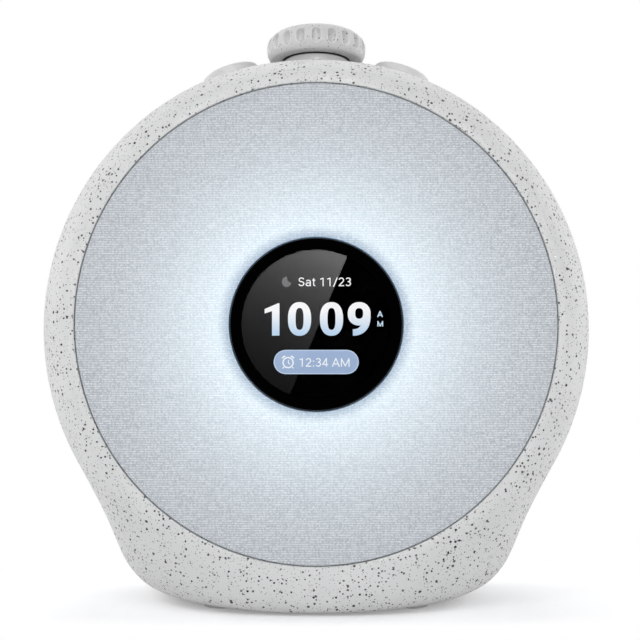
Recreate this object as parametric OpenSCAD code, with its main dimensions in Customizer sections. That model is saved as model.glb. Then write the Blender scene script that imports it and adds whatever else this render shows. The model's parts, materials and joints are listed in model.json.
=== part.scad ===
// Sunrise alarm clock: a round bedside light and clock that stands on a flattened foot.
// X runs to the right, the lit face looks towards -Y and Z is up. The origin is on the
// ground, under the middle of the foot.

/* [Body] */
// Radius of the round body at its ridge
body_r = 100; // [97:1:104]
// Depth of the body from front to back
body_depth = 76; // [74:1:86]
// How much the outline shrinks from the ridge to the flat front and back
edge_drop = 16.2; // [15:0.2:17.4]
// Height of the disc's centre above the underside
disc_rise = 98.1; // [96:0.1:102]
// Half width of the foot at the ground
foot_half = 62.2; // [56:0.2:68]
// Wall thickness of the casing
wall = 2.5; // [2.2:0.1:2.8]
// Depth of the rear cover
cover_depth = 22; // [20:0.5:24]
// Radius of each foot pad
pad_r = 6; // [5:0.5:7]

/* [Face] */
// Width of the shell's lip around the fabric
lip_w = 2; // [1.8:0.1:3]
// How far the face's centre sits above the disc's centre
face_lift = 0.6; // [0:0.1:0.8]
// Thickness of the cloth
cloth_t = 0.8; // [0.6:0.1:1]
// Thickness of the diffuser disc
diffuser_t = 2.5; // [2:0.1:3]
// Depth of the light chamber behind the face's ledge
bowl_depth = 16; // [14:0.5:17]
// Number of LEDs in each ring
led_count = 24; // [12:2:30]

/* [Display] */
// Radius of the display lens
lens_r = 29.3; // [28:0.1:31]
// Thickness of the display lens
lens_t = 2; // [1.5:0.1:2.5]
// Thickness of the display panel
lcd_t = 2.4; // [2:0.1:3]

/* [Dial] */
// Radius of the dial
dial_r = 18.25; // [16.5:0.25:20]
// Height of the dial's body
dial_h = 10.7; // [10:0.1:12]
// Gap between the body's ridge and the dial's underside
dial_gap = 2.2; // [2:0.1:3]
// Number of finger flutes around the dial
flute_count = 20; // [16:1:22]
// How far the dial is pressed
dial_travel = 0.6; // [0.3:0.1:0.8]
// Radius of the collar under the dial
collar_r = 12.3; // [11.5:0.1:13]

/* [Buttons] */
// Lean of each button away from the vertical
button_angle = 18.4; // [17:0.2:21]
// Radius of each button
button_r = 10.7; // [9.5:0.1:11]
// How far each button stands above the shell
button_rise = 2.9; // [2:0.1:3.5]
// How far each button is pressed
button_travel = 0.6; // [0.3:0.1:0.8]

/* [Speaker] */
// Outer radius of the speaker's frame
speaker_r = 31; // [30:0.5:32]
// Radius of the speaker grille
grille_r = 32; // [31.5:0.1:33]
// Radius of each hole in the grille
grille_hole_r = 1.2; // [0.8:0.1:1.4]

/* [Boards] */
// Width of the main board
board_w = 112; // [108:1:118]
// Height of the main board
board_h = 64; // [62:1:70]
// Thickness of every circuit board
pcb_t = 1.6; // [1.2:0.1:2]

/* [Hidden] */
$fn = 96;

// Colours
shell_c = [0.87, 0.88, 0.88];
plain_c = [0.80, 0.81, 0.82];
black_c = [0.05, 0.05, 0.06];
white_c = [0.95, 0.95, 0.94];
steel_c = [0.62, 0.63, 0.65];
board_c = [0.06, 0.30, 0.20];

// Clearances
eps = 0.5;            // how far a cut runs past a face
slip = 0.1;           // between a piece and the seat it drops into
loose = 0.3;          // between curved faces that do not touch
turn_gap = 0.05;      // radial clearance of a turning shaft
seam = 0.2;           // between the front shell and the rear cover

// Shape of the body
edge_pow = 1.63;      // how late the rim rounds over towards the flat faces
foot_pow = 2.4;       // how late the foot narrows towards the flat faces
toe_r = 5;            // rounding under the front and back of the foot
crown_over = 6.6;     // flat crown's height above the round rim, before blending
foot_blend = 16;      // tightness of the corner between side and ground
crown_blend = 20;     // tightness of the blend into the crown
flare_gain = 0.02;    // outward flare above the foot's corner
flare_spread = 7.45;  // angle over which the flare fades
flare_up = 12;        // height and reach past the foot of the flare's middle
flare_out = 6;
far = 1e4;

half_depth = body_depth/2;
half_in = half_depth - wall;
front_y = -half_depth;
back_y = half_depth;
part_y = back_y - cover_depth;
pad_proud = 0.6;
pad_t = 1.6;
disc_z = pad_proud + disc_rise;
face_z = disc_z + face_lift;
face_r = body_r - edge_drop - lip_w;

function soft_min(a, b, k) = pow(pow(a, -k) + pow(b, -k), -1/k);
function edge_r(s) = body_r - edge_drop*(1 - sqrt(max(1 - pow(s, edge_pow), 0)));
function foot_at(s) = foot_half*pow(max(1 - s*s, 0), 1/foot_pow);
function toe_lift(s) =
    let (u = max(0, (s - 1)*half_depth/toe_r + 1)) toe_r*(1 - sqrt(max(1 - u*u, 0)));
function side_r(s, down) =
    let (r = edge_r(s), a = foot_at(s),
         leave = atan2(disc_rise, a) - acos(min(r/norm([a, disc_rise]), 1)))
    down <= leave ? r : r/cos(min(down - leave, 86));
function flare(s, down) =
    let (off = (down - atan2(disc_rise - flare_up, foot_at(s) + flare_out))/flare_spread)
    1 + flare_gain*exp(-off*off);
function ground_r(s, down) = down > 3 ? (disc_rise - toe_lift(s))/sin(down) : far;
function crown_r(s, down) = down < -17 ? (crown_over + edge_r(s))/-sin(down) : far;
// Distance of the outline from the disc centre, at depth share s and at an angle below
// the horizontal
function outline_r(s, down) =
    soft_min(soft_min(side_r(s, down)*flare(s, down), ground_r(s, down), foot_blend),
             crown_r(s, down), crown_blend);

ring_n = 108;         // points around each ring of the casing
ring_steps = 11;      // rings along each curved stretch of the front shell
cover_steps = 7;      // rings along each curved stretch of the rear cover
function turn(i) = 360*i/ring_n;
function down_at(t) = t <= 180 ? t - 90 : 270 - t;
function outline_ring(y, half, off) = [for (i = [0:ring_n - 1])
    let (t = turn(i), r = outline_r(min(abs(y)/half, 1), down_at(t)) - off)
    [r*sin(t), y, disc_z + r*cos(t)]];
function round_ring(y, r) = [for (i = [0:ring_n - 1]) let (t = turn(i))
    [r*sin(t), y, face_z + r*cos(t)]];
function depths(half, from, to, steps) = [for (k = [0:steps])
    -half*cos(from + (to - from)*k/steps)];

// Skins a list of rings. A closed one joins its last ring to its first, an open one is capped.
module loft(rings, closed) {
    n = len(rings[0]);
    m = len(rings);
    sides = [for (j = [0:m - (closed ? 1 : 2)], i = [0:n - 1])
        let (a = j*n + i, b = j*n + (i + 1)%n, k = (j + 1)%m, c = k*n + (i + 1)%n, d = k*n + i)
        each [[a, d, c], [a, c, b]]];
    caps = closed ? [] : [[for (i = [0:n - 1]) i], [for (i = [n - 1:-1:0]) (m - 1)*n + i]];
    polyhedron(points = [for (ring = rings) each ring], faces = concat(sides, caps),
        convexity = 8);
}

// Axis along +Y from depth y, on the middle of the face
module on_face(y) {
    translate([0, y, face_z]) rotate([-90, 0, 0]) children();
}

// Axis along +Y from depth y, at x and at w above the middle of the face
module at_face(x, y, w) {
    translate([x, y, face_z + w]) rotate([-90, 0, 0]) children();
}

module ring(outer, inner, y0, y1) {
    on_face(y0) rotate_extrude() translate([inner, 0]) square([outer - inner, y1 - y0]);
}

// Turned piece about the face's axis, from points of radius and depth
module turned(points) {
    on_face(0) rotate_extrude() polygon(points);
}

// Box from its low and high corners
module block(lo, hi) {
    translate(lo) cube(hi - lo);
}

module around(count, radius, start = 0) {
    for (i = [0:count - 1]) rotate(start + 360*i/count) translate([radius, 0, 0]) children();
}

// Cross-head screw: the head's seat at z = 0, the shank along +Z
module screw(head_r, head_h, shank_r, len) {
    slot = head_r*0.22;
    difference() {
        union() {
            translate([0, 0, -head_h]) cylinder(r = head_r, h = head_h, $fn = 48);
            cylinder(r = shank_r, h = len, $fn = 36);
        }
        for (a = [0, 90])
            rotate(a) translate([-head_r*0.6, -slot/2, -head_h - eps])
                cube([head_r*1.2, slot, head_h*0.6 + eps]);
    }
}

small_screw = [1.9, 1.3, 1.0];      // head radius, head height, shank radius
medium_screw = [2.2, 1.6, 1.0];
large_screw = [2.9, 2.0, 1.5];
face_screw = [2.5, 1.6, 1.3];
screw_gap = 0.1;                    // radial clearance around a screw's shank
thread_gap = 0.05;                  // radial clearance of a pilot hole

// ---- Casing ----

cloth_y = front_y + 0.6;
diffuser_y = cloth_y + cloth_t;
hoop_y = diffuser_y + diffuser_t;
hoop_t = 3.1;
ledge_y = hoop_y + hoop_t;
ledge_t = 2;
ledge_back_y = ledge_y + ledge_t;
ledge_front_y = ledge_y - 2.5;
ledge_in_r = face_r - 5.8;
ledge_out_r = outline_r(-ledge_front_y/half_depth, -90) - wall/2;
face_bore_r = face_r + loose;
face_screw_r = face_r - 3.1;
face_screw_n = 6;
face_screw_turn = 30;

ridge_z = disc_z + outline_r(0, -90);
spot_z = ridge_z - 2.1;             // flat that the dial's collar sits on
boss_r = collar_r + 0.9;             // thickening under the collar
boss_z = spot_z - 4.4;
bushing_r = 3.5;

button_down = button_angle - 90;
button_shell_r = outline_r(0, button_down);
button_top = button_shell_r + button_rise;
flange_r = button_r + 1.3;
flange_t = 1;
flange_top = outline_r(flange_r/half_in, button_down) - wall - loose;
flange_low = flange_top - flange_t;
switch_h = 3.5;
switch_top = flange_low - button_travel - 0.2;
button_board_top = switch_top - switch_h;
button_board_low = button_board_top - pcb_t;
post_u = button_r + 4.3;
post_r = 2.2;
post_top = sqrt(pow(button_shell_r - wall/2, 2) - post_u*post_u);

module at_button(side) {
    translate([0, 0, disc_z]) rotate([0, side*button_angle, 0]) children();
}

cover_screw_r = face_r - 3.8;
cover_screw_down = [-40, 40];
boss_front_y = part_y - 12;
rib_back_y = part_y - 2.9;
rib_t = 2.4;
shell_boss_r = 4.2;

// Axis along +Y at each cover screw, turned so that local X points away from the disc centre
module at_cover_screws(y) {
    for (side = [0, 1], down = cover_screw_down)
        mirror([side, 0, 0]) translate([0, y, disc_z]) rotate([0, down, 0])
            translate([cover_screw_r, 0, 0]) rotate([-90, 0, 0]) children();
}

module cover_screw_ribs() {
    for (side = [0, 1], down = cover_screw_down)
        mirror([side, 0, 0]) translate([0, 0, disc_z]) rotate([0, down, 0])
            block([cover_screw_r, boss_front_y, -rib_t/2],
                  [outline_r(abs(rib_back_y)/half_depth, down) - 0.8, rib_back_y, rib_t/2]);
}

pad_spots = [[foot_half - 28.2, 21 - half_depth], [foot_half - 32.2, part_y + 7]];
module at_pads(z, front) {
    spot = pad_spots[front ? 0 : 1];
    for (side = [-1, 1]) translate([side*spot.x, spot.y, z]) children();
}

tongue_len = 2.5;
tongue_t = 1.2;
tongue_y = part_y - tongue_len;

front_rings = let (turn_out = acos(-part_y/half_depth), turn_in = acos(-tongue_y/half_in))
    concat(
        [for (y = depths(half_depth, 0, turn_out, ring_steps)) outline_ring(y, half_depth, 0)],
        [outline_ring(part_y, half_in, wall)],
        [for (y = depths(half_in, turn_in, 0, ring_steps)) outline_ring(y, half_in, wall)],
        [round_ring(-half_in, face_r - 3), round_ring(front_y, face_r - 3)]);

module front_shell() color(shell_c) difference() {
    union() {
        loft(front_rings, true);
        ring(ledge_out_r, ledge_in_r, ledge_front_y, ledge_back_y);
        translate([0, 0, boss_z]) cylinder(r = boss_r, h = spot_z - boss_z + 0.1);
        for (side = [-1, 1], u = [-post_u, post_u])
            at_button(side) translate([u, 0, button_board_top])
                cylinder(r = post_r, h = post_top - button_board_top, $fn = 36);
        at_cover_screws(boss_front_y) cylinder(r = shell_boss_r, h = part_y - boss_front_y, $fn = 48);
        cover_screw_ribs();
    }
    on_face(front_y - eps) cylinder(r = face_bore_r, h = ledge_y - front_y + eps);
    on_face(ledge_y - eps) around(face_screw_n, face_screw_r, face_screw_turn)
        cylinder(r = face_screw[2] + screw_gap, h = ledge_t + 2*eps, $fn = 36);
    translate([0, 0, spot_z]) cylinder(r = collar_r + slip, h = 8);
    translate([0, 0, boss_z - eps]) cylinder(r = bushing_r + slip, h = 8);
    for (side = [-1, 1]) at_button(side) {
        translate([0, 0, flange_top]) cylinder(r = button_r + 0.2, h = 10);
        for (u = [-post_u, post_u]) translate([u, 0, button_board_top - eps])
            cylinder(r = small_screw[2] + thread_gap, h = 5 + eps, $fn = 36);
    }
    at_cover_screws(boss_front_y + 1.5)
        cylinder(r = large_screw[2] + thread_gap, h = part_y, $fn = 36);
    at_pads(-eps, true) cylinder(r = pad_r + 0.2, h = pad_t + eps);
}

tongue_in = wall + seam + tongue_t;
cover_in_y = half_in;
head_seat_y = part_y + 6;
grille_t = 1.5;
grille_y = back_y - grille_t;
speaker_open_r = speaker_r - 3;
usb_z = 27.8;
usb_w = 8.94;
usb_h = 3.26;
power_top_z = usb_z - usb_h/2;
power_low_z = power_top_z - pcb_t;
power_rib_x = 11;
power_rib_t = 5;
power_rib_y = part_y + 4;
power_screw_y = part_y + 8.5;

gasket_t = 0.8;
frame_back_y = cover_in_y - gasket_t;
frame_t = 1.5;
frame_front_y = frame_back_y - frame_t;
ear_r = 3.6;
ear_ring_r = speaker_r + 2.9;
speaker_post_r = 3.2;

cover_rings = let (turn_in = acos((part_y + 3)/half_in), turn_out = acos((part_y + seam)/half_depth))
    concat(
        [for (y = depths(half_in, 180, 180 - turn_in, cover_steps)) outline_ring(y, half_in, wall)],
        [outline_ring(part_y + 1.2, half_in, tongue_in),
         outline_ring(tongue_y, half_in, tongue_in),
         outline_ring(tongue_y, half_in, wall + seam),
         outline_ring(part_y + seam, half_in, wall + seam)],
        [for (y = depths(half_depth, 180 - turn_out, 180, cover_steps)) outline_ring(y, half_depth, 0)]);

module rear_cover() color(shell_c) difference() {
    union() {
        loft(cover_rings, false);
        at_cover_screws(part_y + seam) cylinder(r = 5, h = back_y - part_y - 1, $fn = 48);
        on_face(frame_back_y) around(4, ear_ring_r, 45)
            cylinder(r = speaker_post_r, h = gasket_t + 1, $fn = 36);
        for (side = [-1, 1])
            block([side*power_rib_x - power_rib_t/2, power_rib_y, pad_proud + 1.5],
                  [side*power_rib_x + power_rib_t/2, cover_in_y + 0.5, power_low_z]);
    }
    on_face(grille_y) cylinder(r = grille_r + slip, h = grille_t + eps);
    on_face(cover_in_y - eps) cylinder(r = speaker_open_r, h = wall + 2*eps);
    on_face(frame_back_y - eps) around(4, ear_ring_r, 45)
        cylinder(r = small_screw[2] + thread_gap, h = 2.2 + eps, $fn = 36);
    at_cover_screws(head_seat_y) cylinder(r = large_screw[0] + 0.5, h = cover_depth, $fn = 48);
    at_cover_screws(part_y - eps) cylinder(r = large_screw[2] + screw_gap, h = 8, $fn = 36);
    block([-usb_w/2 - 0.2, cover_in_y - eps, usb_z - usb_h/2 - 0.2],
          [usb_w/2 + 0.2, back_y + eps, usb_z + usb_h/2 + 0.2]);
    for (side = [-1, 1]) translate([side*power_rib_x, power_screw_y, power_low_z - 7])
        cylinder(r = medium_screw[2] + thread_gap, h = 7 + eps, $fn = 36);
    at_pads(-eps, false) cylinder(r = pad_r + 0.2, h = pad_t + eps);
    translate([0, 0, boss_z - eps]) cylinder(r = boss_r + loose, h = 8);
}

grille_pitch = 4.5;
module rear_grille() color(plain_c) on_face(grille_y) difference() {
    cylinder(r = grille_r, h = grille_t);
    for (k = [0:floor((speaker_open_r - grille_hole_r)/grille_pitch)])
        around(max(6*k, 1), k*grille_pitch)
            translate([0, 0, -eps]) cylinder(r = grille_hole_r, h = grille_t + 2*eps, $fn = 24);
}

module cover_screws() color(steel_c) at_cover_screws(head_seat_y) mirror([0, 0, 1])
    screw(large_screw[0], large_screw[1], large_screw[2], head_seat_y - boss_front_y - 2);

module foot_pads() color([0.25, 0.25, 0.26]) for (front = [true, false])
    at_pads(0, front) cylinder(r = pad_r, h = pad_t);

// ---- Fabric face and light ----

face_hole_r = lens_r + loose;
skirt_t = 0.6;
stack_r = face_r - skirt_t - slip;
hoop_in_r = ledge_in_r - 2;

module fabric_cover() color([0.80, 0.86, 0.92]) turned([
    [face_hole_r, cloth_y], [face_r - skirt_t, cloth_y], [face_r, cloth_y + skirt_t],
    [face_r, ledge_y - 1.2], [face_r - skirt_t, ledge_y - 1.2],
    [face_r - skirt_t, diffuser_y], [face_hole_r, diffuser_y]]);

module diffuser_disc() color([0.93, 0.95, 0.97]) ring(stack_r, face_hole_r, diffuser_y, hoop_y);

module fabric_hoop() color(white_c) difference() {
    ring(stack_r, hoop_in_r, hoop_y, ledge_y);
    on_face(ledge_y - 2.4) around(face_screw_n, face_screw_r, face_screw_turn)
        cylinder(r = face_screw[2] + thread_gap, h = 2.4 + eps, $fn = 36);
}

flange_y = ledge_back_y + 1.5;
module face_screws() color(steel_c) on_face(flange_y)
    around(face_screw_n, face_screw_r, face_screw_turn) mirror([0, 0, 1])
        screw(face_screw[0], face_screw[1], face_screw[2], flange_y - ledge_y + 2.2);

cup_r = lens_r - 0.1;
bowl_t = 1.5;
bowl_floor_y = ledge_back_y + bowl_depth;
bowl_back_y = bowl_floor_y + bowl_t;
bowl_floor_r = cup_r + 22.8;
bowl_hole_r = cup_r + 0.8;
bowl_rim_r = hoop_in_r + 0.5;
cup_flange_r = cup_r + 6.8;
cup_screw_r = cup_r + 3.8;
led_screw_r = cup_r + 19.8;
lead_hole_w = -(cup_r + 12.8);
board_y = bowl_back_y + 9.5;
board_back_y = board_y + pcb_t;
board_post = [board_w/2 - 12, board_h/2 - 10];

module reflector_bowl() color(white_c) difference() {
    union() {
        turned([[bowl_hole_r, bowl_floor_y], [bowl_floor_r, bowl_floor_y],
            [bowl_rim_r, ledge_back_y], [face_r - 0.6, ledge_back_y], [face_r - 0.6, flange_y],
            [bowl_rim_r + 1.1, flange_y], [bowl_floor_r + 0.6, bowl_back_y],
            [bowl_hole_r, bowl_back_y]]);
        for (u = [-1, 1], w = [-1, 1])
            at_face(u*board_post.x, bowl_back_y - 0.7, w*board_post.y)
                cylinder(r = 3.2, h = board_y - bowl_back_y + 0.7, $fn = 48);
    }
    on_face(ledge_back_y - eps) around(face_screw_n, face_screw_r, face_screw_turn)
        cylinder(r = face_screw[2] + screw_gap, h = 3, $fn = 36);
    on_face(bowl_floor_y - eps) {
        around(3, led_screw_r, 60) cylinder(r = small_screw[2] + thread_gap, h = 3, $fn = 36);
        around(4, cup_screw_r, 45) cylinder(r = small_screw[2] + thread_gap, h = 3, $fn = 36);
        translate([0, -lead_hole_w, 0]) cylinder(r = 2.5, h = 3, $fn = 48);
    }
    for (u = [-1, 1], w = [-1, 1])
        at_face(u*board_post.x, board_y - 8, w*board_post.y)
            cylinder(r = medium_screw[2] + thread_gap, h = 8 + eps, $fn = 36);
}

led_board_y = bowl_floor_y - pcb_t;
led_board_r = bowl_floor_r - 1;
module led_board() color(white_c) difference() {
    ring(led_board_r, bowl_hole_r + 1, led_board_y, bowl_floor_y);
    on_face(led_board_y - eps) around(3, led_screw_r, 60)
        cylinder(r = small_screw[2] + screw_gap, h = 3, $fn = 36);
}

led_size = [3.5, 2.8, 0.8];
module leds() color([1, 0.97, 0.80]) on_face(led_board_y - led_size.z)
    for (row = [0, 1]) around(led_count, cup_r + 8 + 7*row, 180/led_count*row)
        translate([-led_size.x/2, -led_size.y/2, 0]) cube(led_size);

module led_board_screws() color(steel_c) on_face(led_board_y) around(3, led_screw_r, 60)
    screw(small_screw[0], small_screw[1], small_screw[2], pcb_t + bowl_t - 0.1);

// ---- Display ----

lens_back_y = front_y + lens_t;
rim_t = 2;
lcd_y = lens_back_y + rim_t;
tray_y = lcd_y + lcd_t;
tray_t = 1.2;
driver_y = tray_y + tray_t;
driver_back_y = driver_y + pcb_t;
cup_in_r = cup_r - 2.2;
lcd_r = cup_in_r - loose;
view_r = cup_in_r - 1.4;
tube_t = 2.7;
cup_flange_t = 2;
retainer_y = bowl_back_y + cup_flange_t;
retainer_back_y = retainer_y + 1.5;
plug = [12, 2, 3];                  // ribbon plug: width, depth, height
ribbon_w = -10;

module display_lens() color([0.02, 0.02, 0.03]) turned([
    [0, front_y], [lens_r - 0.5, front_y], [lens_r, front_y + 0.5], [lens_r, lens_back_y],
    [0, lens_back_y]]);

module display_cup() color(black_c) difference() {
    turned([[view_r, lens_back_y], [cup_r, lens_back_y], [cup_r, bowl_back_y],
        [cup_flange_r, bowl_back_y], [cup_flange_r, retainer_y], [cup_in_r, retainer_y],
        [cup_in_r, lcd_y], [view_r, lcd_y]]);
    on_face(bowl_back_y - eps) around(4, cup_screw_r, 45)
        cylinder(r = small_screw[2] + screw_gap, h = 4, $fn = 36);
}

module lcd_panel() color([0.10, 0.12, 0.18]) on_face(lcd_y) cylinder(r = lcd_r, h = lcd_t);

module backlight_tray() color(steel_c) on_face(tray_y) cylinder(r = lcd_r, h = tray_t);

module display_board() color(board_c) union() {
    on_face(driver_y) cylinder(r = lcd_r, h = pcb_t);
    block([-plug.x/2, driver_back_y, face_z + ribbon_w - plug.z/2],
          [plug.x/2, driver_back_y + plug.y, face_z + ribbon_w + plug.z/2]);
}

module display_retainer() color(black_c) difference() {
    turned([[lcd_r - tube_t, driver_back_y], [lcd_r, driver_back_y], [lcd_r, retainer_y],
        [cup_flange_r, retainer_y], [cup_flange_r, retainer_back_y],
        [lcd_r - tube_t, retainer_back_y]]);
    on_face(retainer_y - eps) around(4, cup_screw_r, 45)
        cylinder(r = small_screw[2] + screw_gap, h = 4, $fn = 36);
}

module display_screws() color(steel_c) on_face(retainer_back_y) around(4, cup_screw_r, 45)
    mirror([0, 0, 1])
        screw(small_screw[0], small_screw[1], small_screw[2], retainer_back_y - bowl_floor_y - 0.1);

ribbon_start_y = driver_back_y + plug.y;
ribbon_end_y = board_y - plug.y;
ribbon_t = 0.3;
ribbon_steps = 12;
function ribbon_at(k) = [ribbon_start_y + (ribbon_end_y - ribbon_start_y)*k/ribbon_steps,
    ribbon_w - 3*pow(sin(180*k/ribbon_steps), 2)];
module display_ribbon() color([0.75, 0.45, 0.10])
    translate([-plug.x/2 + 1, 0, face_z]) rotate([90, 0, 90]) linear_extrude(plug.x - 2) polygon(concat(
        [for (k = [0:ribbon_steps]) ribbon_at(k)],
        [for (k = [ribbon_steps:-1:0]) ribbon_at(k) + [0, ribbon_t]]));

// ---- Main board ----

can_size = [26, 22, 3];             // shield can: width, height, depth
can_w = 8;
chip_t = 1.4;
cell_spot = [-34, -8];
cell_r = 10;
cell_t = 3.2;
header = [8, 6, 5.2];               // lead header: along the edge, into the board, depth
lead_y = board_back_y + header.z/2;
top_headers = [-24, 0, 24];
low_headers = [-10, 10];
side_header_w = -6;
chip_x = board_w/2 - 26;
chip_w = board_h/2 - 14;

// Box on the back of the main board, from its middle and its size
module on_board(x, w, size) {
    block([x - size.x/2, board_back_y, face_z + w - size.y/2],
          [x + size.x/2, board_back_y + size.z, face_z + w + size.y/2]);
}

module main_board() color(board_c) difference() {
    union() {
        block([-board_w/2, board_y, face_z - board_h/2], [board_w/2, board_back_y, face_z + board_h/2]);
        block([-plug.x/2, board_y - plug.y, face_z + ribbon_w - plug.z/2],
              [plug.x/2, board_y, face_z + ribbon_w + plug.z/2]);
    }
    for (u = [-1, 1], w = [-1, 1])
        at_face(u*board_post.x, board_y - eps, w*board_post.y)
            cylinder(r = medium_screw[2] + screw_gap, h = pcb_t + 2*eps, $fn = 36);
}

module processor() color(black_c) on_board(0, can_w, [14, 14, chip_t]);

module shield_can() color(steel_c) difference() {
    on_board(0, can_w, can_size);
    block([1 - can_size.x/2, board_back_y - eps, face_z + can_w + 1 - can_size.y/2],
          [can_size.x/2 - 1, board_back_y + can_size.z - 0.4, face_z + can_w - 1 + can_size.y/2]);
}

module board_chips() color(black_c) {
    on_board(-chip_x, chip_w, [7, 6, chip_t]);
    on_board(10, 4 - chip_w, [5, 5, chip_t]);
    on_board(-8, 4 - chip_w, [5, 4, chip_t]);
    on_board(chip_x, 4 - chip_w, [8, 8, chip_t]);
    for (w = [-2, 8]) on_board(chip_x, w, [7, 7, 3.5]);
}

module capacitors() color([0.70, 0.71, 0.74])
    for (k = [1:3]) at_face(board_post.x - 8*k, board_back_y, board_post.y)
        cylinder(r = 3.1, h = 7, $fn = 48);

module board_connectors() color(white_c) {
    for (x = top_headers) on_board(x, board_h/2 - header.y/2, header);
    for (x = low_headers) on_board(x, header.y/2 - board_h/2, header);
    on_board(board_w/2 - header.y/2, side_header_w, [header.y, header.x, header.z]);
}

module main_board_screws() color(steel_c) for (u = [-1, 1], w = [-1, 1])
    at_face(u*board_post.x, board_back_y, w*board_post.y) mirror([0, 0, 1])
        screw(medium_screw[0], medium_screw[1], medium_screw[2], pcb_t + 6);

module coin_cell_holder() color(black_c) at_face(cell_spot.x, board_back_y, cell_spot.y)
    difference() {
        cylinder(r = cell_r + 1.5, h = cell_t + 0.8);
        translate([0, 0, 0.8]) cylinder(r = cell_r + slip, h = cell_t + eps);
    }

module coin_cell() color([0.78, 0.78, 0.80]) at_face(cell_spot.x, board_back_y + 0.8, cell_spot.y)
    cylinder(r = cell_r, h = cell_t);

// ---- Speaker, facing the grille ----

basket_floor_y = frame_front_y - 14.2;
top_plate_y = basket_floor_y - 2;
magnet_y = top_plate_y - 5;
yoke_y = magnet_y - 1.6;
pole_r = 6.2;
coil_r = 7.2;
coil_t = 0.6;
gap_r = 7.6;
basket_r = 17.2;
roll_r = 2;
roll_t = 0.4;
cone_r = speaker_r - 8.2;
cone_edge_y = frame_front_y - 0.3;
cone_neck_y = cone_edge_y - 10.3;
cone_t = 0.5;
roll_ring_r = speaker_r - 6.2;
frame_in_r = roll_ring_r + roll_r + slip;

module speaker_basket() color([0.16, 0.16, 0.17]) difference() {
    union() {
        turned([[frame_in_r, frame_front_y], [frame_in_r, frame_back_y], [speaker_r, frame_back_y],
            [speaker_r, frame_front_y], [frame_in_r + 1.4, frame_front_y],
            [basket_r, basket_floor_y], [gap_r + 1, basket_floor_y], [gap_r + 1, basket_floor_y + 1.2],
            [basket_r - 0.6, basket_floor_y + 1.2]]);
        on_face(frame_front_y) around(4, ear_ring_r, 45) cylinder(r = ear_r, h = frame_t, $fn = 48);
        block([speaker_r - 1.5, frame_front_y - 3, face_z - 3], [speaker_r + 3, frame_back_y, face_z + 3]);
    }
    for (i = [0:5]) on_face(0) rotate(60*i + 30)
        block([basket_r - 0.7, -4, basket_floor_y + 2.2], [frame_in_r + 3, 4, frame_front_y - 1.2]);
    on_face(frame_front_y - eps) around(4, ear_ring_r, 45)
        cylinder(r = small_screw[2] + screw_gap, h = 3, $fn = 36);
}

module speaker_yoke() color(steel_c) on_face(yoke_y) union() {
    cylinder(r = basket_r - 1.2, h = magnet_y - yoke_y);
    cylinder(r = pole_r, h = basket_floor_y - yoke_y);
}

module speaker_magnet() color([0.22, 0.22, 0.23])
    ring(basket_r + 0.3, gap_r + 1, magnet_y, top_plate_y);

module speaker_top_plate() color(steel_c)
    ring(basket_r - 1.2, gap_r, top_plate_y, basket_floor_y);

module voice_coil() color([0.72, 0.42, 0.20])
    ring(coil_r, coil_r - coil_t, magnet_y + 2.5, cone_neck_y + cone_t);

cap_r = 8.4;
cap_rise = 2.6;
cap_curve = (cap_r*cap_r + cap_rise*cap_rise)/(2*cap_rise);
cap_y = cone_neck_y + cone_t + (cap_r - coil_r)*(cone_edge_y - cone_neck_y)/(cone_r - coil_r);
function cap_arc(r, y, n) = [for (k = [0:n]) let (x = r*k/n)
    [x, y + sqrt(cap_curve*cap_curve - x*x) - cap_curve + cap_rise]];
module speaker_cone() color([0.10, 0.10, 0.11]) union() {
    turned([[coil_r, cone_neck_y], [cone_r, cone_edge_y - cone_t], [cone_r, cone_edge_y],
        [cone_r - 0.8, cone_edge_y], [coil_r, cone_neck_y + cone_t]]);
    turned(concat(cap_arc(cap_r, cap_y, 8), [for (k = [8:-1:0]) cap_arc(cap_r, cap_y - cone_t, 8)[k]]));
}

function roll_arc(r) = [for (a = [0:15:180])
    [roll_ring_r - r*cos(a), frame_front_y + r*sin(a)]];
module speaker_surround() color([0.07, 0.07, 0.07]) turned(concat(
    [[cone_r - 1.2, cone_edge_y], [cone_r - 1.2, frame_front_y]], roll_arc(roll_r),
    [for (k = [12:-1:0]) roll_arc(roll_r - roll_t)[k]], [[roll_ring_r - roll_r + roll_t, cone_edge_y]]));

module speaker_gasket() color([0.12, 0.12, 0.12])
    ring(speaker_r - 0.4, speaker_open_r, frame_back_y, cover_in_y);

module speaker_screws() color(steel_c) on_face(frame_front_y) around(4, ear_ring_r, 45)
    screw(small_screw[0], small_screw[1], small_screw[2], frame_t + 2.1);

// ---- Power inlet ----

power_board_x = 16;
power_front_y = part_y + 1.5;
power_back_y = cover_in_y - 0.5;

module power_board() color(board_c) {
    difference() {
        block([-power_board_x, power_front_y, power_low_z], [power_board_x, power_back_y, power_top_z]);
        for (side = [-1, 1]) translate([side*power_rib_x, power_screw_y, power_low_z - eps])
            cylinder(r = medium_screw[2] + screw_gap, h = pcb_t + 2*eps, $fn = 36);
    }
    block([-header.x/2, power_front_y, power_top_z],
          [header.x/2, power_front_y + header.y, power_top_z + header.z]);
}

module usb_c_socket() color(steel_c) translate([0, back_y - 7.6, usb_z]) rotate([-90, 0, 0])
    difference() {
        translate([-usb_w/2, -usb_h/2, 0]) cube([usb_w, usb_h, 7.3]);
        translate([-usb_w/2 + 0.3, -usb_h/2 + 0.3, 0.8]) cube([usb_w - 0.6, usb_h - 0.6, 8]);
    }

module power_board_screws() color(steel_c) for (side = [-1, 1])
    translate([side*power_rib_x, power_screw_y, power_top_z]) mirror([0, 0, 1])
        screw(medium_screw[0], medium_screw[1], medium_screw[2], pcb_t + 5);

// ---- Dial and its encoder ----

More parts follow.
